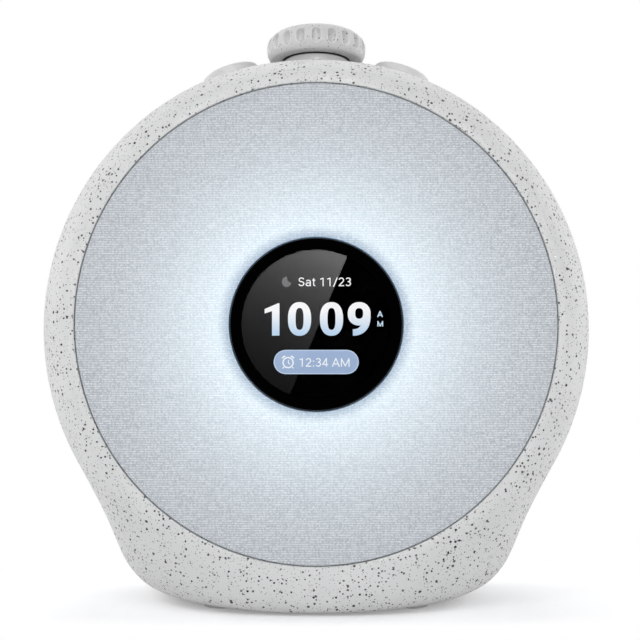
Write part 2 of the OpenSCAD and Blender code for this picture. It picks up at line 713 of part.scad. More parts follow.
dial_z = ridge_z + dial_gap;
recess_h = 3;
recess_r = collar_r + 0.5;
collar_top = dial_z + 1;
collar_floor = 1.2;
hub_low = collar_top + dial_travel + loose;
hub_r = 5;
hub_top = dial_z + dial_h - 1.7;
shaft_r = 3;
shaft_top = hub_top - 0.4;
encoder_w = 13;
plate_t = 1;
encoder_low = boss_z - 7;
rotor_top = boss_z - plate_t - 0.4;
rotor_t = 2;
plunger_h = 1.6;
cavity_low = rotor_top - rotor_t - plunger_h - dial_travel - 0.4;
bushing_top = spot_z + 4.2;
washer_t = 0.5;
nut_t = 2;

lower_round = 4.4;                  // height of the dial's widest line above its underside
under_r = dial_r - 2;
crown_r_in = dial_r - 6;
crown_h = dial_h - 0.6;
function dial_profile(n) = concat(
    [for (k = [0:n]) let (a = 90*k/n)
        [under_r + (dial_r - under_r)*sin(a), lower_round*(1 - cos(a))]],
    [for (k = [1:n]) let (a = 90*k/n)
        [crown_r_in + (dial_r - crown_r_in)*cos(a), lower_round + (crown_h - lower_round)*sin(a)]]);

flute_r = 1.6;
flute_low = 4.0;
flute_len = 2.4;
flute_lean = 12;

module flute() {
    cylinder(r = flute_r, h = flute_len, $fn = 24);
    sphere(r = flute_r, $fn = 24);
    translate([0, 0, flute_len]) sphere(r = flute_r, $fn = 24);
}

module dial() color(shell_c) translate([0, 0, dial_z]) difference() {
    rotate_extrude() polygon(concat([[0, 0]], dial_profile(6), [[0, dial_h]]));
    translate([0, 0, -eps]) cylinder(r = recess_r, h = recess_h + eps);
    cylinder(r = hub_r + turn_gap, h = hub_top - dial_z + 0.1);
    around(flute_count, dial_r + 0.6) translate([0, 0, flute_low])
        rotate([0, -flute_lean, 0]) flute();
}

module dial_hub() color(black_c) difference() {
    union() {
        translate([0, 0, hub_low]) cylinder(r = recess_r - slip, h = dial_z + recess_h - hub_low);
        translate([0, 0, hub_low]) cylinder(r = hub_r, h = hub_top - hub_low);
    }
    translate([0, 0, hub_low - eps])
        cylinder(r = shaft_r + turn_gap, h = shaft_top - hub_low + 2*eps - 0.4);
}

module dial_collar() color(plain_c) translate([0, 0, spot_z]) difference() {
    cylinder(r = collar_r, h = collar_top - spot_z);
    translate([0, 0, collar_floor]) cylinder(r = collar_r - 1.8, h = 10);
    translate([0, 0, -eps]) cylinder(r = bushing_r + slip, h = 4);
}

module encoder_nut() color(steel_c) translate([0, 0, spot_z + collar_floor]) difference() {
    union() {
        cylinder(r = 6, h = washer_t);
        cylinder(r = 5.6, h = washer_t + nut_t, $fn = 6);
    }
    translate([0, 0, -eps]) cylinder(r = bushing_r + turn_gap, h = 4);
}

module encoder_bushing() color(steel_c) difference() {
    union() {
        block([-encoder_w/2, -encoder_w/2, boss_z - plate_t], [encoder_w/2, encoder_w/2, boss_z]);
        translate([0, 0, boss_z]) cylinder(r = bushing_r, h = bushing_top - boss_z);
    }
    translate([0, 0, boss_z - plate_t - eps])
        cylinder(r = shaft_r + turn_gap, h = bushing_top - boss_z + plate_t + 2*eps);
}

module encoder_body() color([0.10, 0.22, 0.14]) difference() {
    block([-encoder_w/2, -encoder_w/2, encoder_low], [encoder_w/2, encoder_w/2, boss_z - plate_t]);
    translate([0, 0, cavity_low]) cylinder(r = 5, h = 10);
}

module encoder_rotor() color(white_c) translate([0, 0, rotor_top - rotor_t]) cylinder(r = 4.6, h = rotor_t);

module encoder_plunger() color([0.85, 0.80, 0.55])
    translate([0, 0, rotor_top - rotor_t - plunger_h]) cylinder(r = 1.6, h = plunger_h, $fn = 36);

module encoder_shaft() color(steel_c) difference() {
    translate([0, 0, rotor_top]) cylinder(r = shaft_r, h = shaft_top - rotor_top);
    block([-shaft_r, shaft_r - 1.5, hub_low + 1], [shaft_r, shaft_r + 1, shaft_top + 1]);
}

encoder_header = [8, 5, 5];
module encoder_board() color(board_c) {
    block([-9, -8, encoder_low - pcb_t], [9, 8, encoder_low]);
    block([-encoder_header.x/2, lead_y - encoder_header.y/2, encoder_low - pcb_t - encoder_header.z],
          [encoder_header.x/2, lead_y + encoder_header.y/2, encoder_low - pcb_t]);
}

// ---- Buttons ----

cap_round = 1.5;
cap_skirt_t = 1.5;
cap_solid_low = button_shell_r - 0.5;
plunger_r = 1.6;
plunger_low = switch_top - 1.9;

function cap_edge(n) = [for (k = [0:n]) let (a = 90*k/n)
    [button_r - cap_round*(1 - cos(a)), button_top - cap_round + cap_round*sin(a)]];

module button_cap() {
    rotate_extrude() polygon(concat(
        [[0, flange_low], [plunger_r + 0.6, flange_low], [plunger_r + 0.6, cap_solid_low],
         [button_r - cap_skirt_t, cap_solid_low], [button_r - cap_skirt_t, flange_low],
         [flange_r, flange_low], [flange_r, flange_top], [button_r, flange_top]],
        cap_edge(5), [[0, button_top]]));
}

module left_button() color(plain_c) at_button(-1) button_cap();
module right_button() color(plain_c) at_button(1) button_cap();

module switch_plunger() {
    translate([0, 0, plunger_low]) cylinder(r = plunger_r, h = flange_low - plunger_low, $fn = 36);
}

module left_switch_plunger() color(white_c) at_button(-1) switch_plunger();
module right_switch_plunger() color(white_c) at_button(1) switch_plunger();

module button_switches() color(black_c) for (side = [-1, 1]) at_button(side) difference() {
    block([-3, -3, button_board_top], [3, 3, switch_top]);
    translate([0, 0, plunger_low - button_travel - 0.1]) cylinder(r = plunger_r + slip, h = 5, $fn = 36);
}

module button_boards() color(board_c) for (side = [-1, 1]) at_button(side) difference() {
    block([-post_u - 2.6, -8, button_board_low], [post_u + 2.6, 8, button_board_top]);
    for (u = [-post_u, post_u]) translate([u, 0, button_board_low - eps])
        cylinder(r = small_screw[2] + screw_gap, h = pcb_t + 2*eps, $fn = 36);
}

module button_board_screws() color(steel_c) for (side = [-1, 1], u = [-post_u, post_u])
    at_button(side) translate([u, 0, button_board_low])
        screw(small_screw[0], small_screw[1], small_screw[2], pcb_t + 4.5);

// ---- Leads ----

lead_r = 1.1;
lead_sides = 8;
lead_out = 12;                      // how far a lead reaches past its header before it turns
function unit(v) = v/norm(v);
// Rounds a route's corners, keeping both ends
function soften(p, passes) = passes == 0 ? p : soften(concat([p[0]],
    [for (i = [0:len(p) - 2]) each [0.75*p[i] + 0.25*p[i + 1], 0.25*p[i] + 0.75*p[i + 1]]],
    [p[len(p) - 1]]), passes - 1);
function headings(p) = [for (i = [0:len(p) - 1])
    unit(p[min(i + 1, len(p) - 1)] - p[max(i - 1, 0)])];
function normals(dirs, n, i = 0) = i == len(dirs) ? [] :
    let (m = unit(n - (n*dirs[i])*dirs[i])) concat([m], normals(dirs, m, i + 1));
function sweep_rings(p, n0) = let (dirs = headings(p), ns = normals(dirs, n0))
    [for (i = [0:len(p) - 1]) [for (k = [0:lead_sides - 1]) let (a = 360*k/lead_sides)
        p[i] + lead_r*(cos(a)*ns[i] + sin(a)*cross(dirs[i], ns[i]))]];

module lead(route, n0) {
    loft(sweep_rings(soften(route, 2), n0), false);
}

function at_w(w) = face_z + w;
header_top = at_w(board_h/2);
header_low = at_w(-board_h/2);
function lean_point(h) = [h*sin(button_angle), lead_y, disc_z + h*cos(button_angle)];
power_lead_z = power_top_z + header.z/2;
terminal_x = speaker_r + 0.8;
side_lead_x = board_w/2;

module internal_leads() color([0.55, 0.10, 0.08]) {
    for (side = [0, 1]) mirror([side, 0, 0])
        lead([lean_point(button_board_low), lean_point(button_board_low - 9),
              [top_headers[2], lead_y, header_top + 18], [top_headers[2], lead_y, header_top]],
             [0, 1, 0]);
    lead([[0, lead_y, encoder_low - pcb_t - encoder_header.z], [0, lead_y, header_top + 26],
          [3, lead_y, header_top + 18], [0, lead_y, header_top + 10], [0, lead_y, header_top]],
         [0, 1, 0]);
    lead([[0, bowl_floor_y, at_w(lead_hole_w)], [0, board_y - 3, at_w(lead_hole_w)],
          [low_headers[0]/2, board_y, header_low - 10],
          [low_headers[0], lead_y, header_low - 9], [low_headers[0], lead_y, header_low]],
         [1, 0, 0]);
    lead([[low_headers[1], lead_y, header_low], [low_headers[1], lead_y, header_low - lead_out],
          [8, lead_y + 3, power_lead_z + 15.2], [0, lead_y + 4, power_lead_z + 3],
          [0, power_front_y - 6, power_lead_z], [0, power_front_y, power_lead_z]],
         [0, 1, 0]);
    lead([[terminal_x, frame_front_y - 3, face_z], [terminal_x, frame_front_y - 10, face_z],
          [terminal_x + lead_out, lead_y + 12, at_w(-2)],
          [side_lead_x + lead_out, lead_y + 4, at_w(side_header_w)],
          [side_lead_x + 8, lead_y, at_w(side_header_w)], [side_lead_x, lead_y, at_w(side_header_w)]],
         [0, 0, 1]);
}

front_shell();
rear_cover();
rear_grille();
cover_screws();
foot_pads();
fabric_cover();
diffuser_disc();
fabric_hoop();
reflector_bowl();
face_screws();
led_board();
leds();
led_board_screws();
display_lens();
display_cup();
lcd_panel();
backlight_tray();
display_board();
display_retainer();
display_screws();
display_ribbon();
main_board();
processor();
shield_can();
board_chips();
capacitors();
board_connectors();
main_board_screws();
coin_cell_holder();
coin_cell();
speaker_basket();
speaker_yoke();
speaker_magnet();
speaker_top_plate();
voice_coil();
speaker_cone();
speaker_surround();
speaker_gasket();
speaker_screws();
power_board();
usb_c_socket();
power_board_screws();
encoder_body();
encoder_bushing();
encoder_nut();
encoder_plunger();
encoder_rotor();
encoder_shaft();
encoder_board();
dial_collar();
dial_hub();
dial();
left_button();
right_button();
left_switch_plunger();
right_switch_plunger();
button_switches();
button_boards();
button_board_screws();
internal_leads();
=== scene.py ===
import json
from math import acos, copysign, cos, degrees, hypot, pi, radians, sin, sqrt

import bmesh
import bpy
import numpy as np
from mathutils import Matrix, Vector


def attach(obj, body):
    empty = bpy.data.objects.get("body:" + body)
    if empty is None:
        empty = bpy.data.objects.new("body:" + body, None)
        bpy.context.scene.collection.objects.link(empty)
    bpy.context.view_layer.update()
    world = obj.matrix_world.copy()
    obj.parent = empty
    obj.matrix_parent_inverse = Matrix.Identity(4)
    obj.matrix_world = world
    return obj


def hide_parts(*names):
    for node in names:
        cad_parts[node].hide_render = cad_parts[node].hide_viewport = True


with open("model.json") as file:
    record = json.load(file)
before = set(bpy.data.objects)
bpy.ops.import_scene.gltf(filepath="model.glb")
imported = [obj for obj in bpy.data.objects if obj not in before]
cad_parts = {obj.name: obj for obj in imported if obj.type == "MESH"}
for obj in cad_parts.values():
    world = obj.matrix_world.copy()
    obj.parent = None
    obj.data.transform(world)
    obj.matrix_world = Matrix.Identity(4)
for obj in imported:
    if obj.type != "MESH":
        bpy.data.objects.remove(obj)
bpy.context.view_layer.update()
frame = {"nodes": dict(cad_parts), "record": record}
print("frame loaded:", len(frame["nodes"]), "nodes")

# All the shapes below are written in millimetres and become metres when their mesh is made.

body = {
    "radius": 100.0, "halfDepth": 38.0, "edgeDrop": 16.2, "edgePower": 1.63,
    "discRise": 98.1, "padProud": 0.6, "footHalf": 62.2, "footPower": 2.4, "toe": 5.0,
    "crownOver": 6.6, "wall": 2.5, "faceLift": 0.6, "partY": 16.0, "seam": 0.2, "seamRound": 0.35,
    # the sides swell a little where they meet the foot
    "swell": 0.02, "swellSpread": 7.45, "swellUp": 12.0, "swellOut": 6.0,
    "groundBlend": 16.0, "crownBlend": 20.0, "ringPoints": 360,
}
discZ = body["padProud"] + body["discRise"]
faceZ = discZ + body["faceLift"]
halfOut = body["halfDepth"]
halfIn = halfOut - body["wall"]


def operator(name):  # a sum with a wire on its left, and the same with it on its right
    return (lambda self, other: self.net.maths(name, self, other),
            lambda self, other: self.net.maths(name, other, self))


class Wire:  # an output socket that sums can be written on
    __add__, __radd__ = operator("ADD")
    __sub__, __rsub__ = operator("SUBTRACT")
    __mul__, __rmul__ = operator("MULTIPLY")
    __truediv__, __rtruediv__ = operator("DIVIDE")
    __pow__, __rpow__ = operator("POWER")

    def __init__(self, net, socket):
        self.net, self.socket = net, socket


class Net:  # a node tree, of a material, the world or some geometry
    def __init__(self, tree):
        self.tree = tree

    def node(self, kind, inputs=None, out=0, **settings):
        made = self.tree.nodes.new(kind)
        for key, value in settings.items():
            setattr(made, key, value)
        for key, value in (inputs or {}).items():
            if isinstance(value, Wire):
                self.tree.links.new(value.socket, made.inputs[key])
            elif value is not None:
                made.inputs[key].default_value = value
        return Wire(self, made.outputs[out]) if len(made.outputs) else made

    def outputs(self, wire):  # every output of the node that a wire comes from
        return {socket.name: Wire(self, socket) for socket in wire.socket.node.outputs}

    def maths(self, operation, *values, clamp=False):
        return self.node("ShaderNodeMath", dict(enumerate(values)), operation=operation,
                         use_clamp=clamp)

    def clamp(self, value):
        return self.maths("ADD", value, 0.0, clamp=True)

    def ease(self, value, low, high):  # 0 to 1 between two values, soft at both ends
        t = self.clamp((value - low)/(high - low))
        return t*t*(3 - 2*t)

    def mix(self, factor, a, b):
        return self.node("ShaderNodeMix", {0: factor, 6: self.colour(a), 7: self.colour(b)}, 2,
                         data_type="RGBA")

    def colour(self, value):
        return (*value, 1) if isinstance(value, (tuple, list)) and len(value) == 3 else value

    def vector(self, operation, a, b=None, scale=None):
        inputs = {0: a, 1: b} if scale is None else {0: a, "Scale": scale}
        return self.node("ShaderNodeVectorMath", inputs, operation=operation)

    def place(self):  # a point of the object's own space, in millimetres
        here = self.node("ShaderNodeTexCoord", out="Object")
        return self.vector("SCALE", here, scale=1000.0)

    def split(self, wire):
        parts = self.outputs(self.node("ShaderNodeSeparateXYZ", {0: wire}))
        return parts["X"], parts["Y"], parts["Z"]

    def join(self, x, y, z):
        return self.node("ShaderNodeCombineXYZ", {0: x, 1: y, 2: z})

    def noise(self, place, scale, detail=2.0, roughness=0.5, out="Fac"):
        return self.node("ShaderNodeTexNoise", {
            "Vector": place, "Scale": scale, "Detail": detail, "Roughness": roughness}, out=out)

    def bump(self, height, strength, distance):
        return self.node("ShaderNodeBump", {
            "Height": height, "Strength": strength, "Distance": distance})

    def seen(self):  # 1 to the camera, also in a mirror or through glass
        ray = self.outputs(self.node("ShaderNodeLightPath"))
        return self.maths("MAXIMUM", ray["Is Camera Ray"],
                          self.maths("MAXIMUM", ray["Is Glossy Ray"], ray["Is Transmission Ray"]))


def finish(name, build):
    material = bpy.data.materials.new(name)
    material.use_nodes = True
    material.node_tree.nodes.clear()
    net = Net(material.node_tree)
    shader = build(net)
    net.node("ShaderNodeOutputMaterial", {"Surface": shader})
    return material


def principled(net, **inputs):  # its sockets by name, with _ for each space
    named = {key.replace("_", " "): net.colour(value) for key, value in inputs.items()}
    return net.node("ShaderNodeBsdfPrincipled", named)


speckle = {
    "base": (0.652, 0.652, 0.644), "mottle": 0.06, "roughness": 0.62, "grain": 0.05,
    # pitch of the cells, largest radius, share of cells that hold a fleck, darkness
    "layers": ((1.90, 0.61, 0.40, 1.00), (1.30, 0.41, 0.40, 1.00), (0.82, 0.20, 0.84, 1.00)),
}
# the dial's finish also darkens its scoops with painted shade and pales their lower rims with a
# painted highlight, by the share given here
dialSpeckle = dict(speckle, base=(0.60, 0.60, 0.592), scoop=0.24,
                   layers=((1.40, 0.31, 0.60, 0.88), (0.90, 0.20, 0.75, 0.65)))


def shades(base, low, high):  # a darker and a paler kind of one colour
    return tuple(c*low for c in base), tuple(min(c*high, 1) for c in base)


def flecks(net, place, pitch, radius, share, dark, seed):
    moved = net.vector("ADD", place, (seed*37.1, seed*11.7, seed*23.3))  # layers differ
    cell = net.outputs(net.node("ShaderNodeTexVoronoi", {"Vector": moved, "Scale": 1/pitch}))
    pick, size, tone = net.split(cell["Color"])
    reach = (size*0.4 + 0.6)*radius
    edge = net.clamp((reach - cell["Distance"]*pitch)/(0.12*radius))
    crowd = net.noise(moved, 0.09, 2)*2.4 - 0.2  # flecks lie in loose clusters
    chosen = net.maths("LESS_THAN", pick, crowd*share)
    return edge*chosen*(tone*0.14 + 0.86)*dark


def speckled(settings):
    def build(net):
        place = net.place()
        wander = net.vector("SUBTRACT", net.noise(place, 1.9, 2, out="Color"), (0.5, 0.5, 0.5))
        rough = net.vector("ADD", place, net.vector("SCALE", wander, scale=0.55))
        cover = None
        for seed, layer in enumerate(settings["layers"]):
            made = flecks(net, rough, *layer, seed + 1)
            cover = made if cover is None else net.maths("MAXIMUM", cover, made)
        cloud, mottle = net.noise(place, 0.055, 3), settings["mottle"]
        tint = net.mix(cloud, *shades(settings["base"], 1 - mottle, 1 + mottle))
        # the dial's tint takes the painted shade and painted highlight of its scoops
        if "scoop" in settings:
            scoop = net.node("ShaderNodeAttribute", out="Fac", attribute_name="scoop")
            tint = net.vector("SCALE", tint, scale=scoop*settings["scoop"] + 1.0)
        colour = net.mix(cover, tint, (0.006, 0.006, 0.007))
        normal = net.bump(net.noise(place, 5.0, 3, 0.6), settings["grain"], 0.0002)
        return principled(net, Base_Color=colour, Roughness=cover*0.12 + settings["roughness"],
                          Specular_IOR_Level=0.35, Normal=normal)
    return build


def moulded(base, roughness=0.5, mottle=0.04, grain=0.06, size=1.8):
    def build(net):
        place = net.place()
        cloud = net.noise(place, 0.12, 3)
        colour = net.mix(cloud, *shades(base, 1 - mottle, 1 + mottle))
        normal = net.bump(net.noise(place, size, 3, 0.6), grain, 0.0002)
        return principled(net, Base_Color=colour, Roughness=cloud*0.08 + roughness - 0.04,
                          Normal=normal)
    return build


def brushed(base, roughness=0.3, along=(0.15, 6.0, 6.0)):
    def build(net):
        place = net.place()
        lines = net.noise(net.vector("MULTIPLY", place, along), 1.0, 4, 0.6)
        return principled(net, Base_Color=net.mix(lines, *shades(base, 0.86, 1.1)), Metallic=1.0,
                          Roughness=lines*0.18 + roughness - 0.09,
                          Normal=net.bump(lines, 0.08, 0.0001))
    return build


def solderMask(base, copper, pitch=1.27):
    def build(net):  # green mask over faint tracks, with small bare pads
        place = net.place()
        x, y, z = net.split(place)
        flat = net.join(x, y*0.1, z)
        tracks = net.node("ShaderNodeTexVoronoi", {"Vector": flat, "Scale": 0.28},
                          feature="DISTANCE_TO_EDGE")
        line = net.clamp((0.06 - tracks)*30)
        dots = net.node("ShaderNodeTexVoronoi", {"Vector": flat, "Scale": 1/(2*pitch)})
        pad = net.clamp((0.13 - dots)*40)
        colour = net.mix(line*0.6, *shades(base, 1.0, 1.7))
        colour = net.mix(pad, colour, copper)
        return principled(net, Base_Color=colour, Metallic=pad*0.8, Roughness=0.38 - pad*0.1,
                          Normal=net.bump(line + pad, 0.25, 0.0001))
    return build


cloth = {
    "weft": 0.788, "stitch": 0.46, "warp": 1.21, "thread": (0.725, 0.742, 0.768),
    "gap": (0.345, 0.368, 0.40), "bump": 0.5, "roughness": 0.85,
    # how much of the tone comes from rows, uneven threads, stitches, fibres and the warp
    "row": 0.50, "slub": 0.46, "tick": 0.16, "fuzz": 1.0, "warpTone": 0.05,
    # the light from behind, and the shaded edge round the lens
    "glow": (0.53, 0.665, 0.73), "reach": 47.0, "wash": 0.55,
    "halo": (0.01, 0.125, 0.25), "haloFrom": 29.5, "haloTo": 34.3,
}


def woven(net):
    place = net.place()
    x, y, z = net.split(place)
    z = z - faceZ
    drift = net.noise(net.join(x, z, 0.0), 0.05, 2) - 0.5  # threads run slightly wavy
    up = z/cloth["weft"] + drift*0.8
    row = net.maths("FLOOR", up)
    hump = net.maths("SINE", (up - row)*pi)
    along = x/cloth["stitch"] + row*0.37 + drift*2.0
    stitch = net.maths("FLOOR", along)
    knot = net.maths("SINE", (along - stitch)*pi)
    cell = net.node("ShaderNodeTexWhiteNoise", {"Vector": net.join(stitch, row, 1.0)})
    strand = net.maths("SINE", (x/cloth["warp"] + drift*1.5)*(2*pi))
    ridge = hump*hump
    shade = (ridge - 0.5)*cloth["row"] + (cell - 0.5)*ridge*(cloth["slub"]*2)
    shade = shade + (knot - 0.64)*ridge*cloth["tick"] + strand*cloth["warpTone"]
    shade = shade + (net.noise(place, 2.9, 1) - 0.5)*cloth["fuzz"]
    far = net.maths("SQRT", x*x + z*z)
    light = net.maths("EXPONENT", far*far*(-1/cloth["reach"]**2))
    shade = net.clamp(shade*(1 - light*cloth["wash"]) + 0.5)  # light washes the threads out
    height = hump*(knot*0.4 + 0.6) + cell*0.3
    colour = net.mix(shade, cloth["gap"], cloth["thread"])
    glow = net.mix(net.ease(far, cloth["haloFrom"], cloth["haloTo"]), cloth["halo"], cloth["glow"])
    glow = net.vector("SCALE", glow, scale=light*(0.97 + shade*0.06))
    return principled(net, Base_Color=colour, Roughness=cloth["roughness"], Specular_IOR_Level=0.15,
                      Sheen_Weight=0.15, Sheen_Roughness=0.5, Emission_Color=glow,
                      Emission_Strength=1.0, Normal=net.bump(height, cloth["bump"], 0.0002))


def clearGlass(net):
    haze = net.noise(net.place(), 0.08, 2)
    return principled(net, Base_Color=(0.96, 0.97, 0.98), Roughness=haze*0.01,
                      Transmission_Weight=1.0, IOR=1.46)


def dark(base, roughness, specular):
    def build(net):
        haze = net.noise(net.place(), 0.3, 2)
        return principled(net, Base_Color=base, Roughness=haze*0.04 + roughness,
                          Specular_IOR_Level=specular)
    return build


def lit(low, high=None, bottom=0, top=1):  # a lit mark, plain or with a second colour on top
    def build(net):
        x, y, z = net.split(net.place())
        up = net.clamp((z - faceZ - bottom)/(top - bottom))
        grain = net.noise(net.place(), 3.0, 1)*0.02 + 0.98
        colour = net.vector("SCALE", net.mix(up, low, high or low), scale=grain)
        return principled(net, Base_Color=(0.01, 0.01, 0.01), Roughness=0.4,
                          Specular_IOR_Level=0.0, Emission_Color=colour, Emission_Strength=1.0)
    return build


ink = (0.0006, 0.0006, 0.0008)
# by the slot that shows them, and four more: dial, glass, edge and screw
finishes = {
    "speckled_shell": speckled(speckle),
    "dial": speckled(dialSpeckle),
    "plain_grey": moulded((0.612, 0.607, 0.600), 0.50, 0.03, 0.05),
    "silicone": moulded((0.50, 0.50, 0.50), 0.7, 0.1, 0.2),
    "cloth": woven,
    "white_plastic": moulded((0.78, 0.78, 0.77), 0.42),
    "diffuser": moulded((0.80, 0.83, 0.86), 0.35, 0.02, 0.02),
    "glass": clearGlass,
    "dark_glass": dark(ink, 0.35, 0.0),
    "edge": dark((0.02, 0.024, 0.03), 0.16, 0.4),
    "black_plastic": moulded((0.018, 0.018, 0.02), 0.45, 0.2, 0.08),
    "display": dark(ink, 0.55, 0.0),
    "steel": brushed((0.55, 0.56, 0.58)),
    "screw": brushed((0.42, 0.43, 0.45), 0.34, (3.0, 3.0, 3.0)),
    "circuit_board": solderMask((0.012, 0.095, 0.045), (0.72, 0.52, 0.22)),
    "polyimide": moulded((0.48, 0.20, 0.03), 0.28, 0.1),
    "aluminium": brushed((0.68, 0.69, 0.71), 0.32),
    "ferrite": moulded((0.06, 0.06, 0.063), 0.65, 0.3, 0.3),
    "copper": brushed((0.62, 0.27, 0.12), 0.3, (1.0, 14.0, 1.0)),
    "paper": moulded((0.028, 0.028, 0.03), 0.85, 0.3, 0.6, 0.9),
    "rubber": moulded((0.014, 0.014, 0.014), 0.6, 0.2, 0.1),
    "dark_green_plastic": moulded((0.02, 0.06, 0.035), 0.5),
    "brass": brushed((0.62, 0.45, 0.16), 0.3),
    "lead_sheath": moulded((0.33, 0.02, 0.015), 0.42, 0.08),
    "led": lit((1.0, 0.98, 0.90)),
}
for slot, build in finishes.items():
    name = slot.title().replace("_", "")
    finishes[slot] = finish(name[0].lower() + name[1:], build)
finishes["white_board"] = finishes["white_plastic"]

for part in frame["record"]["subparts"]:
    node = frame["nodes"][part["node"]]
    chosen = "screw" if part["node"].endswith("_screws") else part["material_slot"]
    node.data.materials.clear()
    node.data.materials.append(finishes[chosen])
print("finishes made:", len(finishes))


def loft(rings, poles=None):  # joins rings end to end, or closes them with two poles
    count, total = len(rings[0]), len(rings)
    i = np.arange(count)
    n = (i + 1) % count
    faces = []
    for j in range(total if poles is None else total - 1):
        k = (j + 1) % total
        faces += np.stack([j*count + i, j*count + n, k*count + n, k*count + i], 1).tolist()
    if poles is not None:
        first, end = np.full(count, total*count), (total - 1)*count
        faces += np.stack([first, n, i], 1).tolist()
        faces += np.stack([first + 1, end + i, end + n], 1).tolist()
        rings = [*rings, poles]
    return np.concatenate([np.asarray(ring, float) for ring in rings]), faces


def circle(r, h, count):  # round the Z axis, at one height or at a height for each point
    turn = np.arange(count)*2*pi/count
    return np.stack([r*np.cos(turn), r*np.sin(turn), np.zeros(count) + h], 1)


def bearing(angle):
    return cos(radians(angle)), sin(radians(angle))


def quarter(r, steps, end=pi/2):  # how far a rounded edge has gone out, and has yet to go back
    return [(r*(1 - cos(t)), r*(1 - sin(t))) for t in np.linspace(0, end, steps)]


def revolve(profile, count, place=None):  # turns (radius, height) pairs, a loop or pole to pole
    ends = profile[0][0] < 1e-6 and profile[-1][0] < 1e-6
    rings = [circle(r, h, count) for r, h in (profile[1:-1] if ends else profile)]
    points, faces = loft(rings, [(0, 0, profile[0][1]), (0, 0, profile[-1][1])] if ends else None)
    return (place(points) if place else points), faces


def rounded(profile, steps=5):  # points of (radius, height) or (radius, height, rounding)
    made = []
    for i, point in enumerate(profile):
        corner = np.array(point[:2], float)
        if len(point) < 3:
            made.append(tuple(corner))
            continue
        before = np.array(profile[i - 1][:2], float) - corner
        after = np.array(profile[(i + 1) % len(profile)][:2], float) - corner
        start, end = (corner + leg/np.linalg.norm(leg)*point[2] for leg in (before, after))
        for t in np.linspace(0, 1, steps):
            made.append(tuple((1 - t)**2*start + 2*t*(1 - t)*corner + t*t*end))
    return made


def post(radius, low, high):  # the profile of a plain post or bore
    return [(0, low), (radius, low), (radius, high), (0, high)]


def onCrown(angle):  # axis out of the disc's centre, leaning by an angle
    c, s = bearing(angle)
    def place(points):
        a, b, h = points.T
        return np.stack([a*c + h*s, b, discZ - a*s + h*c], 1)
    return place


def shifted(x, y, z):
    return lambda points: points + np.array([x, y, z])


def alongY(x, z):  # axis along +Y through a point of the face's plane
    return lambda points: np.stack([x + points[:, 0], points[:, 2], z + points[:, 1]], 1)


onFace = alongY(0, faceZ)


def prism(points, n):  # between two rings of n points, given one after the other
    sides = [(i, (i + 1) % n, (i + 1) % n + n, i + n) for i in range(n)]
    return np.array(points, float), [tuple(range(n))[::-1], tuple(range(n, 2*n)), *sides]


def box(low, high):
    (x0, y0, z0), (x1, y1, z1) = low, high
    corners = (x0, y0), (x1, y0), (x1, y1), (x0, y1)
    return prism([(x, y, z) for z in (z0, z1) for x, y in corners], 4)


def joined(solids):
    points, faces, start = [], [], 0
    for some, their in solids:
        points.append(some)
        faces += [tuple(v + start for v in face) for face in their]
        start += len(some)
    return np.concatenate(points), faces


def placed(name, data):
    made = bpy.data.objects.new(name, data)
    bpy.context.scene.collection.objects.link(made)
    return made


def piece(name, solids, *materials, sharp=32):
    points, faces = joined(solids)
    mesh = bpy.data.meshes.new(name)
    mesh.from_pydata((points*0.001).tolist(), [], faces)
    work = bmesh.new()
    work.from_mesh(mesh)
    bmesh.ops.recalc_face_normals(work, faces=work.faces)
    work.to_mesh(mesh)
    work.free()
    for material in materials:
        mesh.materials.append(material)
    made = placed(name, mesh)
    shade(made, sharp)
    return made


def shade(made, sharp=32):
    made.data.polygons.foreach_set("use_smooth", [True]*len(made.data.polygons))
    made.data.set_sharp_from_angle(angle=radians(sharp))


def settle(made):  # turns live modifiers into plain mesh
    seen = bpy.context.evaluated_depsgraph_get()
    mesh = bpy.data.meshes.new_from_object(made.evaluated_get(seen))
    made.modifiers.clear()
    old, made.data = made.data, mesh
    mesh.name = made.name
    bpy.data.meshes.remove(old)


def discard(made):
    mesh = made.data
    bpy.data.objects.remove(made)
    bpy.data.meshes.remove(mesh)


def carve(made, adds=(), cuts=()):
    tools = []
    for operation, solids in (("UNION", adds), ("DIFFERENCE", cuts)):
        for solid in solids:
            tool = piece("tool", [solid], made.data.materials[0])
            modifier = made.modifiers.new("carve", "BOOLEAN")
            modifier.operation, modifier.object, modifier.solver = operation, tool, "EXACT"
            tools.append(tool)
    settle(made)
    for tool in tools:
        discard(tool)
    shade(made)


def paint(made, choose):  # picks the finish of each face by its middle, in millimetres
    for facet in made.data.polygons:
        facet.material_index = choose(*(facet.center*1000))


def dress(made, bodyName, slot, *nodes):
    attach(made, bodyName)
    if nodes:
        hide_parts(*nodes)


def geometryNet(name, **inputs):  # the names of its inputs by kind
    group = bpy.data.node_groups.new(name, "GeometryNodeTree")
    face = group.interface
    face.new_socket("Geometry", in_out="INPUT", socket_type="NodeSocketGeometry")
    for kind, labels in inputs.items():
        for label in labels.split(", "):
            face.new_socket(label, in_out="INPUT", socket_type="NodeSocket" + kind)
    face.new_socket("Geometry", in_out="OUTPUT", socket_type="NodeSocketGeometry")
    net = Net(group)
    given = net.outputs(net.node("NodeGroupInput"))
    return net, given


def closeNet(net, geometry, material):
    whole = net.node("GeometryNodeRealizeInstances", {"Geometry": geometry})
    whole = net.node("GeometryNodeSetMaterial", {"Geometry": whole, "Material": material})
    net.node("NodeGroupOutput", {"Geometry": whole})
    return net.tree


def grow(made, tree, values):  # runs a tree on a piece and keeps the result as plain mesh
    modifier = made.modifiers.new(tree.name, "NODES")
    modifier.node_group = tree
    for item in tree.interface.items_tree:
        if item.in_out == "INPUT" and item.name in values:
            modifier[item.identifier] = values[item.name]
    settle(made)


